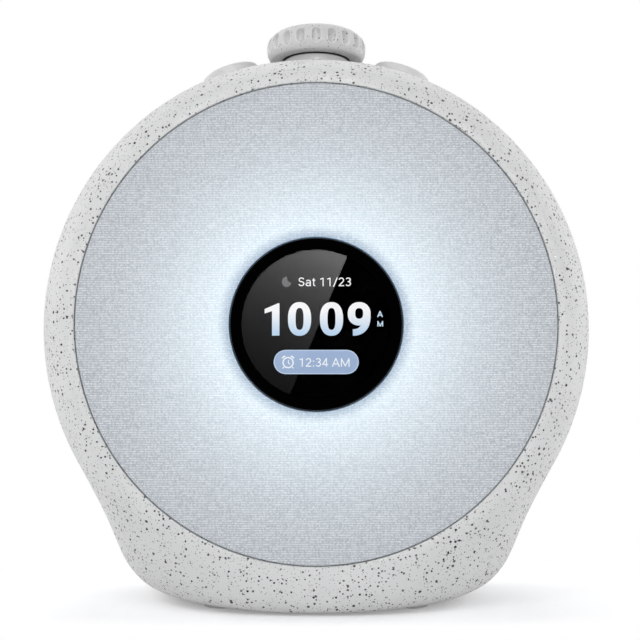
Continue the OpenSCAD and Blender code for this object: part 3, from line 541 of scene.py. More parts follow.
def copiesTree():
    net, given = geometryNet("copiesAtPoints", Object="Pattern", Material="Finish")
    pattern = net.outputs(net.node("GeometryNodeObjectInfo", {"Object": given["Pattern"]}))
    every = net.node("GeometryNodeInstanceOnPoints",
                     {"Points": given["Geometry"], "Instance": pattern["Geometry"]})
    return closeNet(net, every, given["Finish"])


def flutesTree():
    net, given = geometryNet(
        "fingerFlutes", Int="Count", Material="Finish",
        Float="Radius, Middle, Half Width, Half Height, Depth, Softness, Rim")
    x, y, z = net.split(net.node("GeometryNodeInputPosition"))
    sector = 2*pi/given["Count"]
    turn = net.maths("ARCTAN2", y, x)/sector
    aside = (turn - net.maths("ROUND", turn))*sector*given["Radius"]/given["Half Width"]
    up = (z - given["Middle"])/given["Half Width"]
    straight = given["Half Height"]/given["Half Width"] - 1.0
    up = net.maths("MAXIMUM", net.maths("ABSOLUTE", up) - straight, 0.0)
    apart = aside*aside + up*up
    inside = net.maths("MAXIMUM", 1 - apart, 0.0)
    off = net.maths("SQRT", apart) - 1.06  # the raised rim lies just outside
    ridge = net.maths("EXPONENT", off*off*-60)
    deep = ridge*given["Rim"] - (inside**given["Softness"])*given["Depth"]
    offset = net.vector("SCALE", net.node("GeometryNodeInputNormal"), scale=deep)
    moved = net.node("GeometryNodeSetPosition", {"Geometry": given["Geometry"], "Offset": offset})
    # painted shade and painted highlight: each scoop is darkened towards its top and its lower rim
    # is made paler, and the result is stored for the dial's finish
    high = (z - given["Middle"])/given["Half Height"]  # the scoops are dim above, pale below
    pale = ridge*net.clamp(0.45 - high*0.55)
    paintedShade = net.maths("SQRT", inside)*net.clamp(high*0.60 + 0.40)
    marked = net.node("GeometryNodeStoreNamedAttribute",
                      {"Geometry": moved, "Name": "scoop", "Value": pale*1.7 - paintedShade})
    return closeNet(net, marked, given["Finish"])


def perforationsTree():
    net, given = geometryNet("ringsOfHoles", Int="Rings", Float="Pitch, Hole Radius, Depth",
                             Vector="Middle", Material="Finish")
    rings = given["Rings"]
    count = rings*(rings + 1)*3 + 1
    spots = net.node("GeometryNodePoints", {"Count": count})
    index = net.node("GeometryNodeInputIndex")
    # each ring holds six more holes than the one inside it
    ring = net.maths("CEIL", (net.maths("SQRT", index*12 + 9.0) - 3)/6 - 0.0001)
    before = ring*(ring - 1)*3 + 1
    turn = (index - before)/net.maths("MAXIMUM", ring*6, 1.0)*(2*pi)
    reach = ring*given["Pitch"]
    spot = net.join(reach*net.maths("COSINE", turn), 0.0, reach*net.maths("SINE", turn))
    spots = net.node("GeometryNodeSetPosition", {
        "Geometry": spots, "Position": net.vector("ADD", spot, given["Middle"])})
    drill = net.node("GeometryNodeMeshCylinder", {
        "Vertices": 20, "Radius": given["Hole Radius"], "Depth": given["Depth"]})
    drills = net.node("GeometryNodeInstanceOnPoints", {
        "Points": spots, "Instance": drill, "Rotation": (pi/2, 0, 0)})
    drills = net.node("GeometryNodeRealizeInstances", {"Geometry": drills})
    drilled = net.node("GeometryNodeMeshBoolean", {"Mesh 1": given["Geometry"], "Mesh 2": drills},
                       operation="DIFFERENCE", solver="EXACT")
    return closeNet(net, drilled, given["Finish"])


def copies(name, spots, pattern):
    material = pattern.data.materials[0]
    made = piece(name, [(np.array(spots, float), [])], material)
    grow(made, copiesTree(), {"Pattern": pattern, "Finish": material})
    shade(made)
    discard(pattern)
    return made


def softMin(a, b, k):
    return (a**-k + b**-k)**(-1/k)


def rimRadius(s):
    return body["radius"] - body["edgeDrop"]*(1 - np.sqrt(np.maximum(1 - s**body["edgePower"], 0)))


# distance from the disc's centre, at a share of the depth and an angle below the horizontal
def outlineRadius(s, down):
    rim = rimRadius(s)
    foot = body["footHalf"]*np.maximum(1 - s*s, 0)**(1/body["footPower"])
    rise = body["discRise"]
    leave = np.degrees(np.arctan2(rise, foot)
                       - np.arccos(np.minimum(rim/np.hypot(foot, rise), 1)))
    side = rim/np.cos(np.radians(np.clip(down - leave, 0, 86)))
    swollen = np.degrees(np.arctan2(rise - body["swellUp"], foot + body["swellOut"]))
    off = (down - swollen)/body["swellSpread"]
    side = side*(1 + body["swell"]*np.exp(-off*off))
    toe = np.maximum(0, (s - 1)*body["halfDepth"]/body["toe"] + 1)
    lift = body["toe"]*(1 - np.sqrt(np.maximum(1 - toe*toe, 0)))
    ground = np.where(down > 3, (rise - lift)/np.sin(np.radians(np.maximum(down, 3.01))), 1e4)
    over = body["crownOver"] + rim
    crown = np.where(down < -17, over/np.sin(np.radians(np.maximum(-down, 17.01))), 1e4)
    return softMin(softMin(side, ground, body["groundBlend"]), crown, body["crownBlend"])


def outlineAt(down, s=0.0):
    return float(outlineRadius(np.array([s]), np.array([down]))[0])


turns = np.arange(body["ringPoints"])*2*pi/body["ringPoints"]
downs = np.degrees(np.where(turns <= pi, turns - pi/2, 1.5*pi - turns))


def roundRing(y, r, z=faceZ):
    return np.stack([r*np.sin(turns), np.zeros(len(turns)) + y, z + r*np.cos(turns)], 1)


def outlineRing(y, half=halfOut, inset=0.0, share=1.0):
    r = outlineRadius(np.full(len(downs), min(abs(y)/half, 1.0)), downs)
    return roundRing(y, (r - inset)*share, discZ)


def outsideBy(points):  # how far points lie outside the casing's outline
    x, y, z = points.T
    z = z - discZ
    down = np.degrees(np.arctan2(-z, np.abs(x)))
    return np.hypot(x, z) - outlineRadius(np.minimum(np.abs(y)/halfOut, 1), down)


def outlineNormals(points):
    step = 0.01
    slope = np.stack([outsideBy(points + d) - outsideBy(points - d) for d in np.eye(3)*step], 1)
    return slope/np.linalg.norm(slope, axis=1)[:, None]


def crownHeight(angle, a, b):  # height of the shell above the disc's centre along a leaning axis
    place, h = onCrown(angle), np.full(len(a), 100.0)
    for _ in range(12):
        h = h - outsideBy(place(np.stack([a, b, h], 1)))
    return h


def well(angle, radius, low, rim, count=120):  # cutter with a rolled edge that follows the shell
    def ring(r, lift):
        a, b, h = circle(r, 0, count).T
        return circle(r, crownHeight(angle, a, b) + lift, count)
    rings = [circle(radius, low, count)]
    rings += [ring(radius + out, -back) for out, back in quarter(rim, 6, pi/2*0.93)]
    rings.append(ring(radius + rim*1.02, 0.15))
    rings.append(ring(radius + rim*1.02, 6.0))
    points, faces = loft(rings, [(0, 0, low), (0, 0, 108)])
    return onCrown(angle)(points), faces


def smoothOutside(made):  # the outer faces take their normals from the outline itself
    mesh = made.data
    co = np.empty(len(mesh.vertices)*3)
    mesh.vertices.foreach_get("co", co)
    co = co.reshape(-1, 3)*1000
    on = (np.abs(outsideBy(co)) < 0.004) & (np.abs(co[:, 1]) <= halfOut + 0.001)
    normals = outlineNormals(co)
    chosen = np.zeros((len(mesh.loops), 3))
    corner = np.empty(len(mesh.loops), int)
    mesh.loops.foreach_get("vertex_index", corner)
    for face in mesh.polygons:
        loops = np.arange(face.loop_start, face.loop_start + face.loop_total)
        who = corner[loops]
        if on[who].all() and normals[who].mean(0) @ np.array(face.normal) > 0.85:
            chosen[loops] = normals[who]
    mesh.normals_split_custom_set(chosen.tolist())


lip = {"bore": 82.1, "roll": 0.35, "ledge": 76.0, "ledgeFront": -31.0, "ledgeBack": -29.0}
button = {"angle": 18.4, "radius": 10.7, "gap": 0.2, "rise": 2.9, "rim": 0.45, "round": 1.5,
          "flange": 1.3, "stem": 2.2, "slack": 0.3}
dial = {"radius": 18.25, "height": 10.7, "gap": 2.2, "collar": 12.3, "flutes": 20,
        "recess": 3.0, "widest": 4.4, "fluteUp": 4.6, "bushing": 3.6,
        "underRound": 2, "topRound": 6, "dome": 0.6}
# radii and heights of what stands in the casing, and of the bores for screws and pads
fittings = {
    "screwPost": 4.2, "screwBore": 1.55, "coverPost": 5.0, "coverBore": 1.6,
    "switchPost": 2.2, "switchAside": 15, "switchDrop": 5.3, "dialPost": 13.2, "dialDrop": 4.4,
    "padRadius": 6.0, "padBore": 6.2, "padTop": 1.6, "spread": 78.0,
    "postFrom": 4.0, "boreFrom": 5.5, "spotDeep": 2.1,
}
ridgeZ = discZ + outlineAt(-90.0)
spotZ = ridgeZ - fittings["spotDeep"]
buttonShell = outlineAt(button["angle"] - 90)
flangeShare = (button["radius"] + button["flange"])/halfIn
flangeTop = outlineAt(button["angle"] - 90, flangeShare) - body["wall"] - button["slack"]
screwSpots = [(side*fittings["spread"]*c, discZ - fittings["spread"]*s)
              for side in (-1, 1) for c, s in (bearing(-40), bearing(40))]
padSpots = [(-34, -17), (34, -17), (-30, 23), (30, 23)]


def rows(half, start, end, step=2.0):  # depths with even turns, so the rim keeps its roundness
    a, b = (degrees(acos(-y/half)) for y in (start, end))
    count = max(2, int(abs(b - a)/step))
    return [-half*bearing(t)[0] for t in np.linspace(a, b, count)]


def seamRings(y):  # the rounded edge at the seam, which ends at a depth
    side = 1 if y > body["partY"] else -1
    return [outlineRing(y + side*back, inset=out)
            for out, back in quarter(body["seamRound"], 5)[1:]]


def padBores(spots):
    profile = post(fittings["padBore"], -0.5, fittings["padTop"])
    return [revolve(profile, 64, shifted(x, y, 0)) for x, y in spots]


def atScrews(radius, low, high, count):
    return [revolve(post(radius, low, high), count, alongY(x, z)) for x, z in screwSpots]


def frontShell():
    partY, wall, bore, roll = body["partY"], body["wall"], lip["bore"], lip["roll"]
    rings = [roundRing(lip["ledgeFront"], bore), roundRing(-halfOut + 2, bore)]
    rings += [roundRing(-halfOut + back, bore + out) for out, back in quarter(roll, 5)]
    rings += [outlineRing(y) for y in rows(halfOut, -halfOut, partY - body["seamRound"])]
    rings += seamRings(partY)
    rings += [outlineRing(y, halfIn, wall) for y in rows(halfIn, partY, lip["ledgeBack"], 6)]
    rings += [roundRing(lip["ledgeBack"], lip["ledge"]), roundRing(lip["ledgeFront"], lip["ledge"])]
    made = piece("frontShell", [loft(rings)], finishes["speckled_shell"])
    adds = atScrews(fittings["screwPost"], fittings["postFrom"], partY, 40)
    switchPost = post(fittings["switchPost"], flangeTop - fittings["switchDrop"], 97.0)
    for side in (-1, 1):
        lean = onCrown(side*button["angle"])
        for u in (-fittings["switchAside"], fittings["switchAside"]):
            points, faces = revolve(switchPost, 32)
            adds.append((lean(points + (u, 0, 0)), faces))
    adds.append(revolve(post(fittings["dialPost"], spotZ - fittings["dialDrop"], spotZ + 0.1), 96))
    cuts = [well(side*button["angle"], button["radius"] + button["gap"], 90, button["rim"])
            for side in (-1, 1)]
    cuts.append(well(0, dial["collar"] + 0.1, spotZ - discZ, 0.25))
    cuts.append(revolve(post(dial["bushing"], spotZ - 6, spotZ + 1), 48))
    cuts += padBores(padSpots[:2])
    cuts += atScrews(fittings["screwBore"], fittings["boreFrom"], partY + 1, 32)
    carve(made, adds, cuts)
    smoothOutside(made)
    dress(made, "casing", "speckled_shell", "front_shell")


def slotPrism(width, height, corner, y0, y1, z):
    points = []
    for cx, cz, start in ((1, 1, 0), (-1, 1, 90), (-1, -1, 180), (1, -1, 270)):
        for c, s in map(bearing, np.linspace(start, start + 90, 8)):
            points.append((cx*(width/2 - corner) + corner*c, cz*(height/2 - corner) + corner*s))
    ring = lambda y: np.array([(x, y, z + h) for x, h in points])
    return loft([ring(y0), ring(y1)], [(0, y0, z), (0, y1, z)])


usb = {"z": 27.8, "wide": 8.94, "tall": 3.26, "round": 1.6, "gap": 0.4, "wall": 0.3,
       "back": 30.4, "floor": 31.2, "mouth": 37.7, "pitch": 0.5, "contactUp": 0.36,
       # half width, half thickness and end, and for a contact its start before its end
       "tongue": (3.3, 0.34, 36.6), "contact": (0.15, 0.03, 32.5, 36.3)}
rear = {"grille": 32.0, "grilleT": 1.5, "open": 28.0, "well": 3.4, "headSeat": 22.0,
        # the step into the front shell: its start, end, outer and inner inset
        "step": (13.5, 17.2, 2.7, 3.9),
        # the ribs under the power board: half width, place aside, foot and top
        "ribs": (2.5, 11.0, 2.1, 24.57)}


def rearCover():
    partY, wall = body["partY"] + body["seam"], body["wall"]
    rings = [outlineRing(halfOut, share=f) for f in (0.3, 0.6, 0.9)]
    rings += [outlineRing(y) for y in rows(halfOut, halfOut, partY + body["seamRound"])]
    rings += seamRings(partY)
    start, end, outer, inner = rear["step"]
    for y, inset in ((partY, outer), (start, outer), (start, inner), (end, inner)):
        rings.append(outlineRing(y, halfIn, inset))
    rings += [outlineRing(y, halfIn, wall) for y in rows(halfIn, 19, halfIn, 6)]
    rings += [outlineRing(halfIn, halfIn, wall, share=f) for f in (0.8, 0.4)]
    poles = [(0, halfOut, discZ), (0, halfIn, discZ)]
    made = piece("rearCover", [loft(rings, poles)], finishes["speckled_shell"])
    adds = atScrews(fittings["coverPost"], partY, halfOut - 1, 48)
    half, aside, base, rise = rear["ribs"]
    adds += [box((side*aside - half, 20, base), (side*aside + half, 36, rise)) for side in (-1, 1)]
    top = halfOut + 1
    flared = lambda r, low, rim: rounded([(0, low), (r, low), (r, halfOut, rim), (r + 4, halfOut),
                                          (r + 4, top), (0, top)])
    cuts = [revolve(flared(rear["grille"] + 0.1, halfOut - rear["grilleT"], 0.3), 144, onFace),
            revolve(post(rear["open"], 34, 37), 120, onFace)]
    for x, z in screwSpots:
        cuts.append(revolve(flared(rear["well"], rear["headSeat"], 0.5), 48, alongY(x, z)))
    cuts += atScrews(fittings["coverBore"], body["partY"] - 1, rear["headSeat"] + 1, 32)
    wide, tall = (usb[key] + usb["gap"] for key in ("wide", "tall"))
    cuts.append(slotPrism(wide, tall, usb["round"] + 0.1, 34, top, usb["z"]))
    cuts += padBores(padSpots[2:])
    carve(made, adds, cuts)
    smoothOutside(made)
    dress(made, "casing", "speckled_shell", "rear_cover")


frontShell()
print("front shell made")
rearCover()
print("rear cover made")


def rearGrille():
    r, back = rear["grille"], halfOut
    front, proud = back - rear["grilleT"], back - 0.05
    plate = rounded([(0, front), (r, front), (r, proud, 0.3), (0, proud)])
    made = piece("rearGrille", [revolve(plate, 144, onFace)], finishes["plain_grey"])
    grow(made, perforationsTree(), {
        "Rings": 5, "Pitch": 0.0045, "Hole Radius": 0.0012, "Depth": 0.006,
        "Middle": (0, (back - 0.75)*0.001, faceZ*0.001), "Finish": finishes["plain_grey"]})
    shade(made)
    dress(made, "casing", "plain_grey", "rear_grille")


screw = {"head": 2.9, "headTall": 2.0, "shank": 1.5, "long": 16.0, "arm": 1.75, "slot": 0.32}


def coverScrews():  # the head's top lies at y = 0, the shank runs towards -Y
    head, tall, shank = screw["head"], screw["headTall"], screw["shank"]
    tip = -tall - screw["long"]
    profile = rounded([(0, 0), (head*0.55, 0.0), (head, -tall*0.45, 0.3), (head, -tall),
                       (shank, -tall), (shank, tip + 0.5), (shank*0.5, tip), (0, tip)])
    pattern = piece("pattern", [revolve(profile, 40, alongY(0, 0))], finishes["screw"])
    a, b = screw["arm"], screw["slot"]
    carve(pattern, cuts=[box((-a, -1.2, -b), (a, 1, b)), box((-b, -1.2, -a), (b, 1, a))])
    seat = rear["headSeat"] + tall
    made = copies("coverScrews", [(x, seat, z) for x, z in screwSpots], pattern)
    dress(made, "casing", "steel", "cover_screws")


def footPads():
    r, top = fittings["padRadius"], fittings["padTop"]
    profile = rounded([(0, 0), (r, 0, 0.35), (r, top, 0.2), (0, top)])
    made = copies("footPads", [(x, y, 0) for x, y in padSpots],
                  piece("pattern", [revolve(profile, 64)], finishes["silicone"]))
    dress(made, "casing", "silicone", "foot_pads")


def usbSocket():
    z, w, h, wall, floor = (usb[key] for key in ("z", "wide", "tall", "wall", "floor"))
    outer = slotPrism(w, h, usb["round"], usb["back"], usb["mouth"], z)
    inner = slotPrism(w - 2*wall, h - 2*wall, usb["round"] - 0.28, floor, usb["mouth"] + 1.3, z)
    shell = piece("usbSocket", [outer], finishes["steel"])
    carve(shell, cuts=[inner])
    dress(shell, "casing", "steel", "usb_c_socket")
    a, b, end = usb["tongue"]
    tongue = box((-a, floor, z - b), (a, end, z + b))
    dress(piece("usbTongue", [tongue], finishes["black_plastic"]), "casing", "black_plastic")
    a, b, start, end = usb["contact"]
    strips = []
    for i in [*range(-6, 0), *range(1, 7)]:
        for side in (-1, 1):
            x, up = usb["pitch"]*i, z + side*usb["contactUp"]
            strips.append(box((x - a, start, up - b), (x + a, end, up + b)))
    dress(piece("usbContacts", strips, finishes["brass"]), "casing", "brass")


rearGrille()
coverScrews()
footPads()
usbSocket()
print("rear pieces and pads made")


face = {"hole": 29.6, "radius": 81.8, "front": -37.4, "thick": 0.8, "back": -32.2}


def fabricCover():
    r, hole, front, back, t = (face[key] for key in ("radius", "hole", "front", "back", "thick"))
    across = np.linspace(hole + 2, r - 3, 18)
    profile = [(hole, front + t), (hole, front, 0.35)] + [(f, front) for f in across]
    profile += [(r, front, 0.5), (r, back), (r - t + 0.2, back), (r - t + 0.2, front + t, 0.4)]
    profile += [(f, front + t) for f in across[::-1]]
    made = piece("fabricCover", [revolve(rounded(profile), 240, onFace)], finishes["cloth"])
    dress(made, "casing", "cloth", "fabric_cover")


lens = {"radius": 29.3, "clear": 25.3, "front": -38.0, "back": -36.0, "bevel": 0.25}


def displayLens():
    r, front, back = lens["radius"], lens["front"], lens["back"]
    clear = lens["clear"]
    profile = [(0, front), (clear, front), (r - lens["bevel"], front), (r - 0.07, front + 0.18),
               (r, front + 0.40), (r, back), (clear, back), (0, back)]
    made = piece("displayLens", [revolve(profile, 240, onFace)], finishes["glass"],
                 finishes["dark_glass"], finishes["edge"], sharp=20)
    paint(made, lambda x, y, z: 0 if hypot(x, z - faceZ) <= clear
          else 2 if front + 0.01 < y < front + 0.5 else 1)
    dress(made, "casing", "dark_glass", "display_lens")


fabricCover()
displayLens()
print("face made")


marks = {
    "panelFront": -34.0, "thick": 0.03,
    "white": (1.0, 1.0, 1.0), "blue": (0.52, 0.70, 0.90), "pill": (0.35, 0.46, 0.66),
    "pillTop": (0.378, 0.4968, 0.7128), "pillLine": (0.55, 0.68, 0.88), "pale": (0.92, 0.96, 1.0),
    "moon": (0.15, 0.15, 0.155), "side": (0.62, 0.78, 0.92),
    "moonDisc": (-10.1, 14.7, 1.60, 1.75), "moonBite": (-8.35, 16.05, 1.62, 1.62),
    "pillAt": (0.0, -12.64, 10.4), "pillRadii": (4.14, 3.80), "iconAt": (-9.60, -12.85),
    # text, left edge, base line, height of its capitals, width of its strokes
    "date": ("Sat 11/23", -6.30, 13.22, 3.00, 0.35),
    "alarm": ("12:34 AM", -6.15, -14.25, 2.98, 0.36),
    "half": (("A", 20.85, 2.72, 2.0, 0.38), ("M", 20.70, -0.52, 1.85, 0.36)),
    # the big digits, drawn on a sheet of their own, with the left edge of each one
    "bigBase": -3.62, "bigTall": 11.42, "drawnTall": 34.6, "lefts": (-17.6, -9.65, 1.25, 10.75),
}


def arc(cx, cy, rx, ry, start, end, steps=14, power=1.0):
    made = []
    for c, s in map(bearing, np.linspace(start, end, steps)):
        made.append((cx + rx*copysign(abs(c)**power, c),
                     cy + ry*copysign(abs(s)**power, s)))
    return made


# the width of each letter and its strokes, on capitals one unit tall
letters = {
    "S": (0.83, [arc(0.415, 0.725, 0.26, 0.215, 15, 238) + arc(0.415, 0.29, 0.28, 0.23, 62, -168)]),
    "a": (0.77, [[(0.60, 0.0), (0.60, 0.48)] + arc(0.37, 0.49, 0.23, 0.19, 0, 155)[1:],
                 arc(0.35, 0.22, 0.24, 0.165, 0, 360, 20)]),
    "t": (0.46, [[(0.21, 0.90), (0.21, 0.20)] + arc(0.35, 0.19, 0.14, 0.14, 180, 285, 8)[1:],
                 [(0.03, 0.69), (0.40, 0.69)]]),
    "1": (0.79, [[(0.15, 0.79), (0.47, 0.92), (0.47, 0.0)]]),
    "2": (0.79, [arc(0.385, 0.69, 0.25, 0.245, 172, -35) + [(0.12, 0.06), (0.70, 0.06)]]),
    "3": (0.79, [arc(0.375, 0.73, 0.235, 0.205, 155, -90)
                 + arc(0.375, 0.29, 0.26, 0.23, 90, -155)]),
    "4": (0.79, [[(0.52, 0.0), (0.52, 0.95), (0.09, 0.27), (0.72, 0.27)]]),
    "/": (0.58, [[(0.07, -0.06), (0.50, 0.98)]]),
    ":": (0.34, [[(0.09, 0.08), (0.17, 0.08), (0.25, 0.08)],
                 [(0.09, 0.64), (0.17, 0.64), (0.25, 0.64)]]),
    "A": (0.92, [[(0.05, 0.0), (0.46, 0.95), (0.87, 0.0)], [(0.19, 0.32), (0.73, 0.32)]]),
    "M": (1.23, [[(0.18, 0.0), (0.18, 0.93), (0.615, 0.08), (1.05, 0.93), (1.05, 0.0)]]),
    " ": (0.35, []),
}


def pen(path, width):  # the flat form of a stroke, as convex polygons
    made, path = [], [np.array(p, float) for p in path]
    for a, b in zip(path, path[1:]):
        side = np.array([a[1] - b[1], b[0] - a[0]])
        side = side/max(np.linalg.norm(side), 1e-9)*width/2
        made.append([a - side, b - side, b + side, a + side])
    for p in path[1:-1]:
        made.append([p + width/2*np.array([cos(t), sin(t)])
                     for t in np.arange(12)*pi/6])
    return made


def written(text, left, base, tall, width):
    made = []
    for character in text:
        advance, strokes = letters[character]
        for stroke in strokes:
            made += pen([(left + u*tall, base + v*tall) for u, v in stroke], width)
        left += advance*tall
    return made


def band(outer, inner):  # the flat ring between two outlines with equal counts
    n = len(outer)
    return [[outer[i], outer[(i + 1) % n], inner[(i + 1) % n], inner[i]] for i in range(n)]


def lozenge(cx, cy, half, r):
    return arc(cx + half, cy, r, r, -90, 90, 12) + arc(cx - half, cy, r, r, 90, 270, 12)


def mark(name, polygons, material, layer=0):
    thick = marks["thick"]
    front = marks["panelFront"] - thick*(layer + 1)
    solids = []
    for polygon in polygons:
        points = [(x, y, faceZ + z) for y in (front, front + thick) for x, z in polygon]
        solids.append(prism(points, len(polygon)))
    dress(piece(name, solids, material), "casing", "display")


def oval(cx, cy, rx, ry, steps=49, power=1.0):
    return arc(cx, cy, rx, ry, 0, 360, steps, power)[:-1]


def bigDigits():
    base, unit = marks["bigBase"], marks["bigTall"]/marks["drawnTall"]
    flag = [(0, 27.4), (13.9, 33.4), (7.6, 25.3), (0, 22.8)]
    stem = [(7.6, 0), (15.3, 0), (15.3, 33.4), (13.9, 33.4), (7.6, 30.7)]
    zero = band(oval(12, 17.2, 12, 17.4, power=0.86), oval(12, 17.2, 4.1, 11.3, power=0.72))
    bowl = band(oval(11.8, 22.5, 11.8, 12.1, power=0.92), oval(11.8, 22.9, 4.1, 5.5, power=0.80))
    outer = arc(5.3, 20.5, 18.3, 20.6, 8, -90, 18, 0.86)
    inner = arc(5.3, 20.5, 10.9, 14.0, 8, -90, 18, 0.86)
    tail = band(outer, inner)[:-1]
    shapes = []
    for left, digit in zip(marks["lefts"], ([flag, stem], zero, zero, bowl + tail)):
        shapes += [[(left + x*unit, base + y*unit) for x, y in shape] for shape in digit]
    colour = lit(marks["blue"], marks["white"], base + 0.5, base + marks["bigTall"]*0.72)
    mark("displayDigits", shapes, finish("litDigits", colour))


def crescent(disc, bite, steps=40):  # a disc without its part in a second one, in thin wedges
    centre, other = np.mean(disc, 0), np.mean(bite, 0)
    radius = np.hypot(*(np.array(bite) - other).T).mean()
    lowX, highX = min(p[0] for p in disc), max(p[0] for p in disc)
    a, b = (highX - lowX)/2, max(p[1] for p in disc) - centre[1]
    def span(x):
        half = b*sqrt(max(1 - ((x - centre[0])/a)**2, 0))
        low, high = centre[1] - half, centre[1] + half
        reach = radius*radius - (x - other[0])**2
        if reach > 0:
            high = max(low, min(high, other[1] - sqrt(reach)))
        return low, high
    made, edges = [], np.linspace(lowX, highX, steps)
    for x0, x1 in zip(edges, edges[1:]):
        (l0, h0), (l1, h1) = span(x0), span(x1)
        if h0 - l0 + h1 - l1 > 1e-3:
            made.append([(x0, l0), (x1, l1), (x1, h1 + 1e-4), (x0, h0 + 1e-4)])
    return made


def alarmIcon(cx, cz):  # a ring, two hands, and a bell and a foot on each side
    made = pen(arc(cx, cz, 1.72, 1.72, 0, 360, 33), 0.45)
    made += pen([(cx + 0.1, cz + 0.9), (cx + 0.1, cz - 0.15), (cx + 0.7, cz - 0.6)], 0.32)
    for side in (-1, 1):
        bell = [(2.0, 1.45), (1.55, 1.95), (0.95, 2.3)]
        made += pen([(cx + side*u, cz + v) for u, v in bell], 0.5)
        made += pen([(cx + side*1.4, cz - 1.5), (cx + side*1.85, cz - 2.0)], 0.36)
    return made


def plain(key):
    return finish("lit" + key[0].upper() + key[1:], lit(marks[key]))


def displayMarks():
    mark("displayDate", written(*marks["date"]), plain("white"))
    moon = crescent(*(oval(*marks[key], 33) for key in ("moonDisc", "moonBite")))
    mark("displayMoon", moon, plain("moon"))
    bigDigits()
    upper, lower = marks["half"]
    mark("displayAm", written(*upper) + written(*lower), plain("side"))
    outline, fill = (lozenge(*marks["pillAt"], r) for r in marks["pillRadii"])
    mark("displayPill", [fill], finish("litPill", lit(marks["pill"], marks["pillTop"], -17, -8)))
    mark("displayPillLine", band(outline, fill), plain("pillLine"))
    pale = plain("pale")
    mark("displayAlarmTime", written(*marks["alarm"]), pale, 1)
    mark("displayAlarmIcon", alarmIcon(*marks["iconAt"]), pale, 1)


displayMarks()
print("display made")


def dialPiece():
    r, tall, low = dial["radius"], dial["height"], ridgeZ + dial["gap"]
    recess, deep, widest = dial["collar"] + 0.5, dial["recess"], dial["widest"]
    under, inner, crown = r - dial["underRound"], r - dial["topRound"], tall - dial["dome"]
    profile = [(0, deep), (recess - 0.02, deep), (recess, deep - 0.02),
               (recess, 0.22), (recess + 0.06, 0.06), (recess + 0.22, 0)]
    for c, s in map(bearing, np.linspace(0, 90, 16)):
        profile.append((under + (r - under)*s, widest*(1 - c)))
    for c, s in map(bearing, np.linspace(0, 90, 44)[1:]):
        profile.append((inner + (r - inner)*c, widest + (crown - widest)*s))
    for t in np.linspace(0, 1, 7)[1:]:
        profile.append((inner*(1 - t), crown + (tall - crown)*(1 - (1 - t)**2)))
    made = piece("dialKnob", [revolve(profile, 720, shifted(0, 0, low))], finishes["dial"])
    grow(made, flutesTree(), {
        "Count": dial["flutes"], "Radius": r*0.001, "Middle": (low + dial["fluteUp"])*0.001,
        "Half Width": 0.00162, "Half Height": 0.0026, "Depth": 0.0013, "Softness": 0.70,
        "Rim": 0.00020, "Finish": finishes["dial"]})
    shade(made, 40)
    dress(made, "dial_stack", "speckled_shell", "dial")


def dialCollar():  # its lip under the dial is a dark band
    r, bore, low, top = dial["collar"], dial["bushing"], spotZ, ridgeZ + dial["gap"] + 1
    # painted shade: above this height the collar's lip takes black plastic, standing in for the
    # shadow in the gap under the dial
    paintedShadeFrom = ridgeZ + dial["gap"] - 0.35
    profile = rounded([(bore, low), (r, low), (r, paintedShadeFrom - 0.1, 0.08), (r - 0.12, paintedShadeFrom),
                       (r - 0.12, top, 0.25), (r - 1.8, top, 0.25), (r - 1.8, low + 1.2),
                       (bore, low + 1.2)])
    made = piece("dialCollar", [revolve(profile, 144)], finishes["plain_grey"],
                 finishes["black_plastic"])
    # the upper lip's faces take the black finish as painted shade
    paint(made, lambda x, y, z: int(z > paintedShadeFrom + 0.01 and hypot(x, y) > r - 2))
    dress(made, "casing", "plain_grey", "dial_collar")


def buttonPiece(name, side, bodyName, node):
    r, stem, top = button["radius"], button["stem"], buttonShell + button["rise"]
    wide, low, solid = r + button["flange"], flangeTop - 1, buttonShell - 0.5
    profile = rounded([(0, low), (stem, low), (stem, solid, 0.3), (r - 1.5, solid, 0.3),
                       (r - 1.5, low), (wide, low), (wide, flangeTop), (r, flangeTop, 0.1),
                       (r, top, button["round"]), (r*0.5, top), (0, top)])
    solid = revolve(profile, 144, onCrown(side*button["angle"]))
    dress(piece(name, [solid], finishes["plain_grey"]), bodyName, "plain_grey", node)


dialPiece()
dialCollar()
buttonPiece("leftButton", -1, "left_push", "left_button")
buttonPiece("rightButton", 1, "right_push", "right_button")
print("dial and buttons made")


studio = {
    "world": 0.47, "worldColour": (0.95, 0.97, 1.0), "floorSize": 12.0, "target": (0, 0, 0.1),
    "floorDiffuse": 0.97, "floorLift": 0.21, "whiteFrom": 0.06, "whiteTo": 0.12,
    # where the matt patch starts to fade in front and behind, and how fast
    "patchFront": -0.032, "frontRate": 6, "patchBack": 0.02, "backRate": 1.6, "sideRate": 0.64,
    # place, size, power
    "lamps": (
        ("key", (-0.8, -1.3, 1.5), 0.5, 3.5),
        ("high", (-0.35, -0.8, 1.75), 0.5, 1.6),
        ("left", (-1.4, 0.25, 0.75), 1.0, 7.4),
        ("right", (1.4, 0.35, 0.55), 1.0, 7.8),
        ("top", (0.0, 0.55, 1.6), 1.0, 5.8),
        ("front", (0.0, -1.9, 0.27), 0.5, 7.4),
    ),
}


for label, place, size, power in studio["lamps"]:
    lamp = bpy.data.lights.new(label + "Lamp", "AREA")
    lamp.size, lamp.energy = size, power
    holder = placed(label + "Lamp", lamp)
    holder.location = place
    aim = Vector(studio["target"]) - holder.location
    holder.rotation_euler = aim.to_track_quat("-Z", "Y").to_euler()
    mirrored = label != "front"  # the display shows no mirror image of this one
    holder.visible_glossy = holder.visible_transmission = mirrored

world = bpy.data.worlds.new("studioWorld")
world.use_nodes = True
world.node_tree.nodes.clear()
net = Net(world.node_tree)
soft = tuple(c*studio["world"] for c in studio["worldColour"])
colour = net.mix(net.seen(), soft, (1.0, 1.0, 1.0))
backdrop = net.node("ShaderNodeBackground", {"Color": colour, "Strength": 1.0})
net.node("ShaderNodeOutputWorld", {"Surface": backdrop})
bpy.context.scene.world = world


